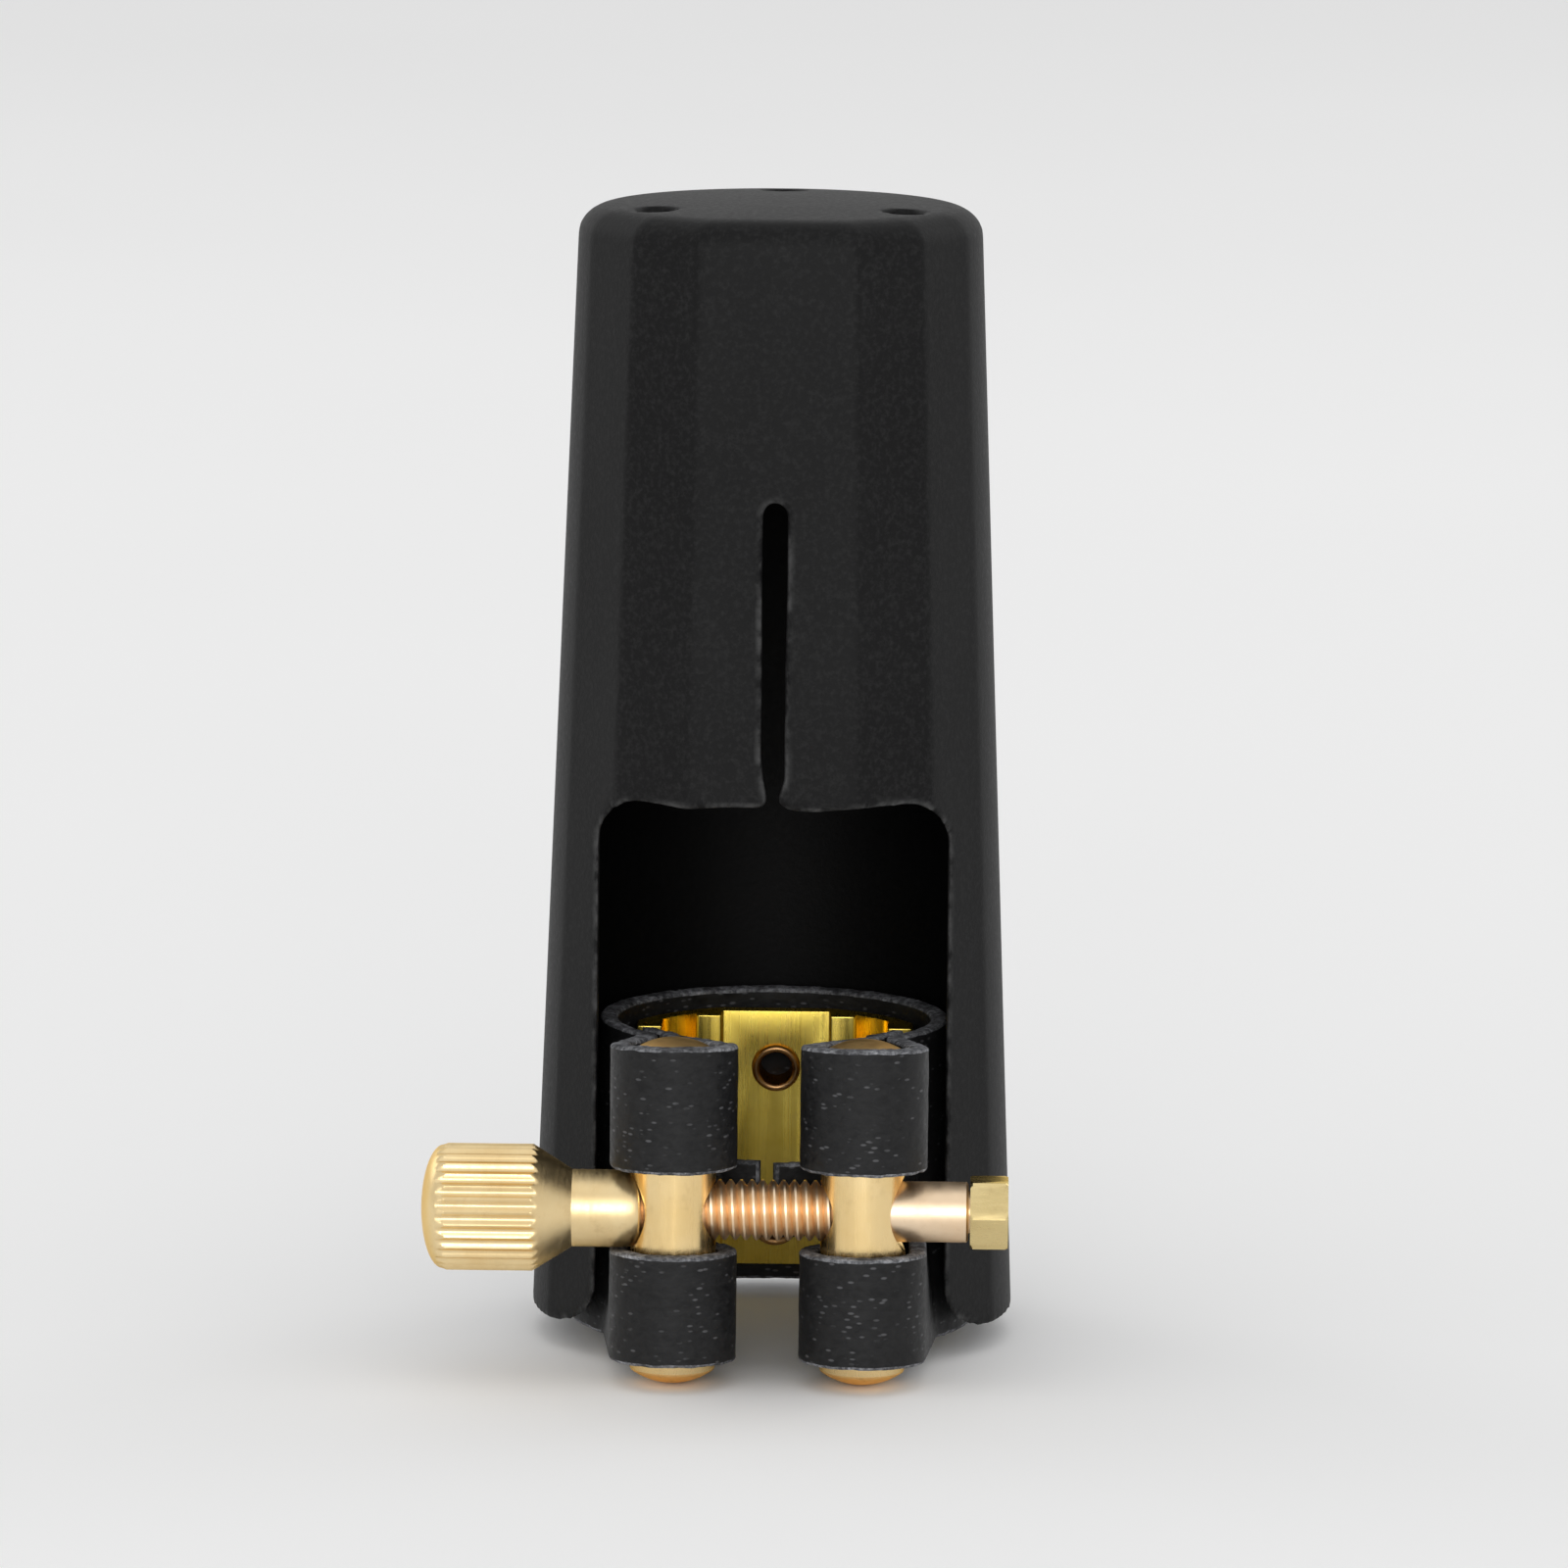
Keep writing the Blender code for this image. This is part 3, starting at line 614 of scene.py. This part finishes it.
def row_height(level, share):
    """Height of a row in the band, where share runs from 0 at the back to 1 at the split."""
    low, high = STRIPS["lower"][0], STRIPS["upper"][1]
    at_back = BAND_BASE_Z + (level - low) * (BAND_TOP_Z - BAND_BASE_Z) / (high - low)
    return at_back + (crease_z(level) - at_back) * smoothstep(share)


def band_path(level, steps):
    """Mid-surface points from the back's centre to the split, on the right side."""
    radius = band_radius(row_height(level, 1)) - LEATHER / 2
    last = math.pi / 2 + math.asin(-SPLIT_Y / radius)
    points = []
    for i in range(steps + 1):
        share = i / steps
        z = row_height(level, share)
        r = band_radius(z) - LEATHER / 2
        points.append(Vector((r * math.sin(last * share), r * math.cos(last * share), z)))
    return points


def loop_path(level, start, steps):
    """From the split round the outside and front of the post, and back behind it."""
    post, reach = Vector((POST_X, POST_Y)), LOOP_R - LEATHER / 2
    first = Vector((start.x, start.y))
    last = Vector((start.x - LOOP_END_X, SPLIT_Y - LOOP_END_Y))
    out, back = first - post, last - post
    begin = math.atan2(out.y, out.x) - math.acos(reach / out.length)
    end = math.atan2(back.y, back.x) + math.acos(reach / back.length) - 2 * math.pi
    turns = [begin + (end - begin) * i / steps for i in range(steps + 1)]
    ring = [post + reach * Vector((math.cos(t), math.sin(t))) for t in turns]
    side = steps // 2
    flat = [first.lerp(ring[0], i / side) for i in range(1, side)] + ring
    flat += [ring[-1].lerp(last, i / side) for i in range(1, side + 1)]
    inner = band_radius(level) - 1.5 * LEATHER - LOOP_END_GAP
    angle = math.atan2(last.x, last.y)
    for i in range(1, LOOP_END_STEPS + 1):
        turn = angle - LOOP_END_TURN * i
        flat.append(Vector((inner * math.sin(turn), inner * math.cos(turn))))
    return [Vector((p.x, p.y, strap_z(level, p.y))) for p in flat]


def relax(path, first, last, rounds):
    """Round a path's sharp bends between two indexes."""
    for _ in range(rounds):
        old = [p.copy() for p in path]
        for i in range(first, last):
            path[i] = (old[i - 1] + 2 * old[i] + old[i + 1]) / 4
    return path


def strip_levels(name):
    """The heights of a strip's rows, at the split."""
    low, high = STRIPS[name]
    count = round((high - low) / ROW_HEIGHT)
    return [low + (high - low) * i / count for i in range(count + 1)]


def grid_faces(bm, rows, skip=lambda row, column: False):
    """Faces between neighbouring rows, except where skip says that the leather is cut."""
    for r, (low, high) in enumerate(zip(rows, rows[1:])):
        for c in range(min(len(low), len(high)) - 1):
            if not skip(r, c):
                bm.faces.new((low[c], low[c + 1], high[c + 1], high[c]))


def thicken(obj, keep_flat):
    """Give a leather sheet its thickness and slightly rounded cut edges.

    keep_flat says, for a point in millimetres, whether an edge there is a butt joint.
    """
    sheet = obj.modifiers.new("thickness", "SOLIDIFY")
    sheet.thickness = LEATHER * MM
    sheet.offset = 0
    sheet.use_even_offset = True
    sheet.material_offset_rim = 1
    apply_modifiers(obj)
    bm = bmesh.new()
    bm.from_mesh(obj.data)
    chosen = []
    for edge in bm.edges:
        kinds = {face.material_index for face in edge.link_faces}
        middle = ((edge.verts[0].co + edge.verts[1].co) / 2 - AXIS) / MM
        if kinds == {0, 1} and not keep_flat(middle):
            chosen.append(edge)
    bmesh.ops.bevel(bm, geom=chosen, offset=EDGE_BEVEL * MM, segments=3, profile=0.5, affect="EDGES",
                    clamp_overlap=True, material=1)
    roughen(bm)
    bm.to_mesh(obj.data)
    bm.free()
    return shade(obj, 50)


def roughen(bm):
    """A little unevenness, most of it along the cut edges."""
    for vert in bm.verts:
        edge = any(face.material_index == 1 for face in vert.link_faces)
        place = vert.co / MM
        slow = noise.noise(place * 0.8)
        quick = noise.noise(place * 2.7 + Vector((7.0, 3.0, 1.0)))
        if edge:
            vert.co += Vector((0, 0, 1)) * (EDGE_WAVE * MM * (slow + quick))
        else:
            vert.co += vert.normal * (FACE_WAVE * MM * 2 * slow)


def make_half_strap(side, name):
    """Half of the band with its upper and lower loops, one sheet of leather."""
    bm = bmesh.new()
    rows, kinds = [], []
    for strip in ("lower", "tongue", "upper"):
        for level in strip_levels(strip):
            path = band_path(level, BAND_STEPS)
            if strip != "tongue":
                path += loop_path(level, path[-1], LOOP_STEPS)
                relax(path, BAND_STEPS - 1, BAND_STEPS + 3, 2)
            rows.append([bm.verts.new((side * p.x, p.y, p.z)) for p in path])
            kinds.append(strip)
    grid_faces(bm, rows, lambda r, c: kinds[r] != kinds[r + 1] and c >= BAND_STEPS - 1)
    bmesh.ops.recalc_face_normals(bm, faces=bm.faces)
    obj = to_object(name, bm, [HIDE, RAW_EDGE])
    tongue_low, tongue_high = STRIPS["tongue"]

    def butt(p):
        """At the back, where the two halves meet, and where the tongue and the cuts begin."""
        at_back = abs(p.x) < 0.05 and p.y > 0
        at_tongue = abs(p.y - SPLIT_Y) < 0.6 and tongue_low - 0.4 < p.z < tongue_high + 0.4
        return at_back or at_tongue

    return thicken(obj, butt)


def make_tongue(side, name, tip_x, spring):
    """The middle strip that goes on round the mouthpiece behind the screw.

    tip_x is where it ends, and spring how far its tip stands off the band's circle.
    """
    bm = bmesh.new()
    rows = []
    for level in strip_levels("tongue"):
        radius = band_radius(row_height(level, 1)) - LEATHER / 2
        first = math.pi / 2 + math.asin(-SPLIT_Y / radius)
        last = math.pi - math.asin(side * tip_x / (radius + spring))
        row = []
        for i in range(TONGUE_STEPS + 1):
            share = i / TONGUE_STEPS
            turn = first + (last - first) * share
            r = radius + spring * share ** 2
            y = r * math.cos(turn)
            z = level + RISE * max(0.0, SPLIT_Y - y)
            row.append(bm.verts.new((side * r * math.sin(turn), y, z)))
        rows.append(row)
    grid_faces(bm, rows)
    bmesh.ops.recalc_face_normals(bm, faces=bm.faces)
    obj = to_object(name, bm, [HIDE, RAW_EDGE])
    return thicken(obj, lambda p: abs(p.y - SPLIT_Y) < 0.5)


def make_strap():
    """Two half straps, which bend between the band and the posts, and their tongues."""
    for side, word in ((-1, "left"), (1, "right")):
        half = make_half_strap(side, f"strap_{word}_half")
        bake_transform(half)
        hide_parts(f"{word}_lower_loop", f"{word}_upper_loop", "leather_band")
        tongue = make_tongue(side, f"strap_{word}_tongue", *TONGUES[word])
        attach(tongue, "band")


# ---------------------------------------------------------------- reed plate
FIELD_HALF_W = 3.7
RIBS_X = (4.55, 8.5)
RIB_HALF_W = 0.85
PLATE_BACK_R = 10.3
PLATE_T = 0.95
PLATE_GAP = 0.15
PLATE_BEVEL = 0.13
RIB_H = 1.6
WEB_STEPS = 5
BACK_STEPS = 14
EYELET_HOLE_R = 1.42


def plate_y(x, radius):
    """The plate's curve, which is flat across its field."""
    return math.sqrt(radius ** 2 - max(abs(x), FIELD_HALF_W) ** 2)


def plate_outline():
    """The plate's section: a curved back, four ribs in front and a flat field between."""
    front_r = PLATE_BACK_R - PLATE_T
    inner, outer = RIBS_X
    points = []
    for centre, end in ((inner, outer - RIB_HALF_W), (outer, PLATE_HALF_W)):
        start, stop = centre - RIB_HALF_W, min(centre + RIB_HALF_W, end)
        crest = plate_y(centre, front_r) - RIB_H
        points += [(start, plate_y(start, front_r)), (start, crest), (stop, crest)]
        if end == PLATE_HALF_W:
            break
        web = [stop + (end - stop) * i / WEB_STEPS for i in range(WEB_STEPS)]
        points += [(x, plate_y(x, front_r)) for x in web]
    for i in range(BACK_STEPS + 1):
        x = PLATE_HALF_W + (FIELD_HALF_W - PLATE_HALF_W) * i / BACK_STEPS
        points.append((x, plate_y(x, PLATE_BACK_R)))
    return points + [(-x, y) for x, y in reversed(points)]


def make_plate():
    """The ribbed plate, leaning with the band's cone, with its two eyelet holes."""
    bm = prism(plate_outline(), *PLATE_Z)
    sharp = [edge for edge in bm.edges if edge.calc_face_angle(0) > math.radians(40)]
    bmesh.ops.bevel(bm, geom=sharp, offset=PLATE_BEVEL, segments=3, profile=0.5, affect="EDGES",
                    clamp_overlap=True)
    for vert in bm.verts:
        vert.co.y += band_radius(vert.co.z) - LEATHER - PLATE_GAP - PLATE_BACK_R
    plate = to_object("plate_body", bm, [PLATE_BRASS])
    hole = pin(0, -2 * BAND_BASE_R, EYELET_HOLE_R)
    cut(plate, *[turned(hole, 48, eyelet_matrix(z)) for z in EYELETS_Z])
    shade(plate, 40)
    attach(plate, "band")
    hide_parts("reed_plate")


# ---------------------------------------------------------------- eyelets
# Each end is rolled outwards: the roll's middle radius, its half width and how much taller it is
ROLL_R = 1.38
ROLL_HALF_W = 0.27
ROLL_STRETCH = 1.2
ROLL_INSET = 0.31
ROLL_STEPS = 14
TUBE_R = 1.33
TUBE_BORE_R = 1.08
TUBE_STEPS = 6


def eyelet_matrix(z):
    """The eyelet's axis stands square to the cone, its +Z towards the front."""
    lean = math.atan(BAND_TAPER)
    foot = z - band_radius(z) * BAND_TAPER
    return Matrix.Translation((0, 0, foot)) @ Matrix.Rotation(math.pi / 2 + lean, 4, "X")


def make_eyelet(name, node, z):
    """A bronze tube through the plate and the leather, rolled over at both ends."""
    low, high = span(node)
    lean = math.cos(math.atan(BAND_TAPER))
    front, back = -low[1] / lean - ROLL_INSET, -high[1] / lean + ROLL_INSET
    rolled = arc((0, 0), ROLL_HALF_W, 180, 0, ROLL_STEPS)
    rim = [(ROLL_R + u, front + v * ROLL_STRETCH) for u, v in rolled]
    foot = [(ROLL_R + u, back - v * ROLL_STRETCH) for u, v in reversed(rolled)]
    outside = [(TUBE_R, front - 0.1), (TUBE_R, back + 0.1)]
    inside = [(TUBE_BORE_R, back + (front - back) * i / TUBE_STEPS) for i in range(1, TUBE_STEPS)]
    bm = turned(rim + outside + foot + inside, 72, eyelet_matrix(z), closed=True)
    obj = shade(to_object(name, bm, [BRONZE]), 60)
    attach(obj, "band")
    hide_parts(node)


# ---------------------------------------------------------------- posts
DOME_H = 0.95
DOME_SHARE = 0.97
DOME_STEPS = 14
POST_RINGS_Z = (20, 17, 14, 11.6, 9, 6, 3)
CROSS_BORE_R = 2.03
SINK_R = 2.85
SINK_DEPTH = 1.3


def make_post(side, word):
    """A domed post, cross-bored, with a countersink on its outer side."""
    dome_r = (POST_R ** 2 + DOME_H ** 2) / (2 * DOME_H)
    reach = math.degrees(math.asin(POST_R / dome_r))
    top = arc((0, POST_TOP_Z - dome_r), dome_r, 89.5, 90 - reach * DOME_SHARE, DOME_STEPS)
    top.append((POST_R, POST_TOP_Z - DOME_H - 0.08))
    body = [(POST_R, z) for z in POST_RINGS_Z]
    profile = top + body + [(r, POST_TOP_Z - z) for r, z in reversed(top)]
    bm = turned(profile, 96, Matrix.Translation((side * POST_X, POST_Y, 0)))
    post = to_object(f"{word}_post_body", bm, [POST_BRASS, DOME_BRASS])
    face_x = POST_X + POST_R
    sink = pin(side * (face_x + 0.2), side * (face_x - SINK_DEPTH), SINK_R, CROSS_BORE_R)
    bore = pin(0, side * 2 * POST_X, CROSS_BORE_R)
    cut(post, turned(bore, 64, lying()), turned(sink, 64, lying()))
    for face in post.data.polygons:
        z = face.center.z / MM
        face.material_index = 1 if z > POST_TOP_Z - DOME_H - 0.1 or z < DOME_H + 0.1 else 0
    shade(post, 40)
    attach(post, f"{word}_carriage")
    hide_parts(f"{word}_post")


# ---------------------------------------------------------------- stud and collar
THREAD_PITCH = 0.7
THREAD_DEPTH = 0.40
THREAD_SECTORS = 56
THREAD_CUTS = 10
THREAD_LEAD = 0.2
THREAD_END_X = POST_X - 1.6
SHANK_START_X = POST_X - 1.2
SHANK_STEP_X = POST_X - 0.6
SHANK_START_R = 1.55
SHANK_RINGS_X = [POST_X + offset for offset in (2, 4, 5.5)]
SHOULDER_GAP = 0.12
SHOULDER_BEVEL = (0.15, 0.12)
TENON_R = 1.4
TENON_BEVEL = (0.25, 0.15)

COLLAR_FLAT = 4.5
COLLAR_FACE_R = 2.40
COLLAR_CORNER_R = 2.56
COLLAR_BEVEL = 0.16
COLLAR_BORE_R = 1.47
COLLAR_SECTORS = 72


def thread_radius(phase):
    """Radius over one pitch: a V groove with a rounded root and a slightly flat crest."""
    height = 1 - abs(2 * phase - 1)
    return STUD_R - THREAD_DEPTH * (1 - min(1.0, 1.25 * height) ** 0.85)


def helix(bm, start, end):
    """A closed threaded rod whose rows follow the helix, from start to end along X."""
    sectors, cuts = THREAD_SECTORS, THREAD_CUTS
    rows = round((end - start) / THREAD_PITCH * cuts)
    grid = []
    for k in range(rows + 1):
        row = []
        for j in range(sectors):
            turn = 2 * math.pi * j / sectors
            x = start + THREAD_PITCH * (k / cuts + j / sectors)
            r = thread_radius((k % cuts) / cuts)
            row.append(bm.verts.new((x, POST_Y + r * math.cos(turn), SCREW_Z + r * math.sin(turn))))
        grid.append(row)
    for k in range(rows):
        for j in range(sectors - 1):
            bm.faces.new((grid[k][j], grid[k][j + 1], grid[k + 1][j + 1], grid[k + 1][j]))
        if k + cuts + 1 <= rows:
            bm.faces.new((grid[k][-1], grid[k + cuts][0], grid[k + cuts + 1][0], grid[k + 1][-1]))
    first_seam = [grid[k][0] for k in range(cuts, 0, -1)]
    last_seam = [grid[k][-1] for k in range(rows - cuts, rows)]
    for edge_row, seam in ((grid[0], first_seam), (grid[-1], last_seam)):
        loop = edge_row + seam
        centre = bm.verts.new(sum((v.co for v in edge_row), Vector()) / sectors)
        for a, b in zip(loop, loop[1:] + [loop[0]]):
            bm.faces.new((a, b, centre))
    bmesh.ops.recalc_face_normals(bm, faces=bm.faces)


def make_stud():
    """Thread up to the right post's bore, plain shank after it, tenon in the collar."""
    bm = bmesh.new()
    helix(bm, STUD_START_X + THREAD_LEAD, THREAD_END_X)
    shoulder, end = COLLAR_X[0] - SHOULDER_GAP, STUD_END_X
    along, across = SHOULDER_BEVEL
    profile = [(POLE_R, SHANK_START_X), (SHANK_START_R, SHANK_START_X), (STUD_R, SHANK_STEP_X)]
    profile += [(STUD_R, x) for x in SHANK_RINGS_X]
    profile += [(STUD_R, shoulder - along), (STUD_R - across, shoulder), (TENON_R, shoulder)]
    along, across = TENON_BEVEL
    profile += [(TENON_R, end - along), (TENON_R - across, end), (POLE_R, end)]
    shank = turned(profile, 72, lying())
    mesh = bpy.data.meshes.new("shank")
    shank.to_mesh(mesh)
    shank.free()
    bm.from_mesh(mesh)
    bpy.data.meshes.remove(mesh)
    stud = shade(to_object("stud_rod", bm, [STUD_BRASS]), 30)
    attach(stud, "right_carriage")
    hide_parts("stud")


def make_collar():
    """The hexagonal collar with turned chamfers on its corners."""
    low, high = COLLAR_X
    ends = [(low, COLLAR_FACE_R), (low + COLLAR_BEVEL, COLLAR_CORNER_R)]
    ends += [(high - COLLAR_BEVEL, COLLAR_CORNER_R), (high, COLLAR_FACE_R)]
    rings = []
    for x, most in ends:
        ring = []
        for i in range(COLLAR_SECTORS):
            turn = 2 * math.pi * i / COLLAR_SECTORS
            from_flat = (turn + math.pi / 6) % (math.pi / 3) - math.pi / 6
            r = min(COLLAR_FLAT / 2 / math.cos(from_flat), most)
            ring.append((x, POST_Y + r * math.sin(turn), SCREW_Z + r * math.cos(turn)))
        rings.append(ring)
    collar = to_object("collar_body", loft(rings), [COLLAR_BRASS])
    cut(collar, turned(pin(low - 1, high + 1, COLLAR_BORE_R), 48, lying()))
    shade(collar, 25)
    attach(collar, "right_carriage")
    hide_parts("stud_collar")


# ---------------------------------------------------------------- thumb nut
KNOB_FACE_X = -21.4
KNOB_BACK_X = -15.5
CONE_END_X = -12.9
SEAT_X = -10.3
NOSE_X = -8.42
SHOULDER_R = 2.55
KNOB_EDGE_H = 0.10
KNOB_EDGE_W = 0.25
NOSE_H = 0.36
NUT_BORE_R = 2.04
NUT_BORE_END_X = -20
NUT_BORE_LEAD = 1
NUT_BORE_TIP = 0.6
KNURLS = 30
KNURL_DEPTH = 0.24
KNURL_CUTS = 8


def nut_limit(x):
    """The nut's turned radius at x, before knurling."""
    if x < KNOB_FACE_X:
        rise = (KNOB_FACE_X - x) / (KNOB_FACE_X - KNOB_END_X)
        return (KNOB_R - KNOB_EDGE_H) * math.sqrt(max(0.0, 1 - rise ** 2))
    if x < KNOB_FACE_X + KNOB_EDGE_W:
        return KNOB_R - KNOB_EDGE_H * (1 - (x - KNOB_FACE_X) / KNOB_EDGE_W)
    if x < KNOB_BACK_X:
        return KNOB_R
    if x < CONE_END_X:
        share = (x - KNOB_BACK_X) / (CONE_END_X - KNOB_BACK_X)
        return KNOB_R + (SHOULDER_R - KNOB_R) * share
    if x < SEAT_X:
        return SHOULDER_R
    share = (x - SEAT_X) / (NOSE_X - SEAT_X)
    return SHOULDER_R - NOSE_H * (1 - math.sqrt(1 - 0.98 * share ** 3))


def nut_places():
    """Where the nut's rings stand: closer together on its dome, edges and nose."""
    places = [KNOB_END_X + (KNOB_FACE_X - KNOB_END_X) * (i / 14) ** 2 for i in range(1, 14)]
    places += [KNOB_FACE_X + 0.05 * i for i in range(8)]
    places += [KNOB_FACE_X + 0.5 + (KNOB_BACK_X - KNOB_FACE_X - 0.6) * i / 12 for i in range(13)]
    places += [KNOB_BACK_X + (CONE_END_X - KNOB_BACK_X) * i / 30 for i in range(31)]
    places += [CONE_END_X + (SEAT_X - CONE_END_X) * i / 5 for i in range(1, 5)]
    places += [SEAT_X + (NOSE_X - SEAT_X) * (1 - (1 - i / 12) ** 1.5) for i in range(13)]
    return places


def nut_ring(x, radius):
    """One ring of the nut, where radius gives the radius of each of its points."""
    ring = []
    sectors = KNURLS * KNURL_CUTS
    for i in range(sectors):
        turn, r = 2 * math.pi * i / sectors, radius(i)
        ring.append((x, POST_Y + r * math.cos(turn), SCREW_Z + r * math.sin(turn)))
    return ring


def knurled(i):
    """The knurled bar's radius at a ring's point."""
    groove = abs((i / KNURL_CUTS) % 1 * 2 - 1)
    return KNOB_R - KNURL_DEPTH * smoothstep(1.15 * groove)


def make_nut():
    """Knob with straight knurling that runs out on its cone, shoulder and blind bore."""
    rings = [nut_ring(KNOB_END_X, lambda i: POLE_R)]
    for x in nut_places():
        limit = nut_limit(x)
        rings.append(nut_ring(x, lambda i: min(limit, knurled(i))))
    nut = to_object("nut_body", loft(rings), [NUT_BRASS])
    bore = pin(NOSE_X + NUT_BORE_LEAD, NUT_BORE_END_X, NUT_BORE_R, tip=-NUT_BORE_TIP)
    cut(nut, turned(bore, 64, lying()))
    shade(nut, 32)
    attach(nut, "nut")
    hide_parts("thumb_nut")


# ---------------------------------------------------------------- camera, floor and light
# The camera's place from the object, in millimetres, and its angles in degrees
CAMERA_PLACE = (0.52, -641.2, 138.7)
CAMERA_AZIMUTH = 0.9
CAMERA_PITCH = 8.99
CAMERA_ROLL = 0.5
CAMERA_LENS = 221.7

FLOOR_R = 6.0
FLOOR_DROP = 0.0001

# The light tent: brightness against the share of the way from the front to the back
SKY_LEVELS = ((0.01, 0.93), (0.20, 0.49), (0.70, 0.45), (0.90, 0.57))
SKY_STRENGTH = 1.5

# Soft boxes, in metres and watts, all turned towards the object's middle
BOXES = {
    "left_box": ((-0.75, 0.55, 0.45), (0.4, 0.6), 0.8),
    "right_box": ((0.75, 0.55, 0.45), (0.4, 0.6), 0.8),
    "top_box": ((0.0, -0.25, 0.95), (0.7, 0.6), 0.35),
    "front_box": ((0.0, -1.15, 0.26), (0.55, 0.4), 2.5),
}
MIDDLE = Vector((0, 0, 0.035))


def make_camera():
    """A long lens in front and a little above, tipped down by nine degrees."""
    turn = Matrix.Rotation(math.radians(CAMERA_AZIMUTH), 3, "Z")
    tip, lean = math.radians(CAMERA_PITCH), math.radians(CAMERA_ROLL)
    forward = turn @ Vector((0, math.cos(tip), -math.sin(tip)))
    level_up = turn @ Vector((0, math.sin(tip), math.cos(tip)))
    level_right = turn @ Vector((1, 0, 0))
    right = level_right * math.cos(lean) + level_up * math.sin(lean)
    up = level_up * math.cos(lean) - level_right * math.sin(lean)
    data = bpy.data.cameras.new("camera")
    data.sensor_width = 36
    data.lens = CAMERA_LENS
    data.clip_start, data.clip_end = 0.01, 50
    camera = bpy.data.objects.new("camera", data)
    matrix = Matrix((right, up, -forward)).transposed().to_4x4()
    matrix.translation = AXIS + (turn @ Vector(CAMERA_PLACE)) * MM
    camera.matrix_world = matrix
    bpy.context.scene.collection.objects.link(camera)
    bpy.context.scene.camera = camera


def make_floor():
    """A pale, matt floor, wide enough to fill the view."""
    bm = bmesh.new()
    bmesh.ops.create_circle(bm, cap_ends=True, segments=96, radius=FLOOR_R)
    n = Nodes("pale_floor")
    n.set(Roughness=0.9, Specular_IOR_Level=0.1)
    base = n.ramp(n.noise(3, 2), (0.3, (0.93, 0.93, 0.93)), (0.7, (0.95, 0.95, 0.95)))
    n.link(base, n.shader.inputs["Base Color"])
    mesh = bpy.data.meshes.new("floor")
    bm.to_mesh(mesh)
    bm.free()
    mesh.materials.append(n.material)
    floor = bpy.data.objects.new("floor", mesh)
    floor.location.z = -FLOOR_DROP
    bpy.context.scene.collection.objects.link(floor)


def make_box(name, place, size, power):
    """A rectangular soft box, turned towards the object's middle."""
    data = bpy.data.lights.new(name, "AREA")
    data.shape = "RECTANGLE"
    data.size, data.size_y = size
    data.energy = power
    light = bpy.data.objects.new(name, data)
    light.location = place
    light.rotation_euler = (MIDDLE - Vector(place)).to_track_quat("-Z", "Y").to_euler()
    bpy.context.scene.collection.objects.link(light)


def make_sky():
    """A white light tent: brightest in front, dimmer at the sides, bright again behind."""
    world = bpy.data.worlds.new("studio")
    world.use_nodes = True
    nodes, links = world.node_tree.nodes, world.node_tree.links
    coords = nodes.new("ShaderNodeTexCoord")
    split = nodes.new("ShaderNodeSeparateXYZ")
    share = nodes.new("ShaderNodeMapRange")
    share.inputs["From Min"].default_value = -1.0
    level = nodes.new("ShaderNodeValToRGB")
    level.color_ramp.interpolation = "EASE"
    stops = level.color_ramp.elements
    while len(stops) < len(SKY_LEVELS):
        stops.new(0.5)
    for stop, (place, value) in zip(stops, SKY_LEVELS):
        stop.position, stop.color = place, (value, value, value, 1.0)
    links.new(coords.outputs["Generated"], split.inputs["Vector"])
    links.new(split.outputs["Y"], share.inputs["Value"])
    links.new(share.outputs["Result"], level.inputs["Fac"])
    links.new(level.outputs["Color"], nodes["Background"].inputs["Color"])
    nodes["Background"].inputs["Strength"].default_value = SKY_STRENGTH
    bpy.context.scene.world = world


def make_lights():
    """The light tent, the soft boxes and plain colours."""
    make_sky()
    for name, (place, size, power) in BOXES.items():
        make_box(name, place, size, power)
    settings = bpy.context.scene.view_settings
    settings.view_transform = "Standard"
    settings.look = "None"


make_camera()
make_cap()
make_strap()
make_plate()
make_eyelet("upper_eyelet_body", "upper_eyelet", EYELETS_Z[0])
make_eyelet("lower_eyelet_body", "lower_eyelet", EYELETS_Z[1])
make_post(-1, "left")
make_post(1, "right")
make_stud()
make_collar()
make_nut()
make_floor()
make_lights()
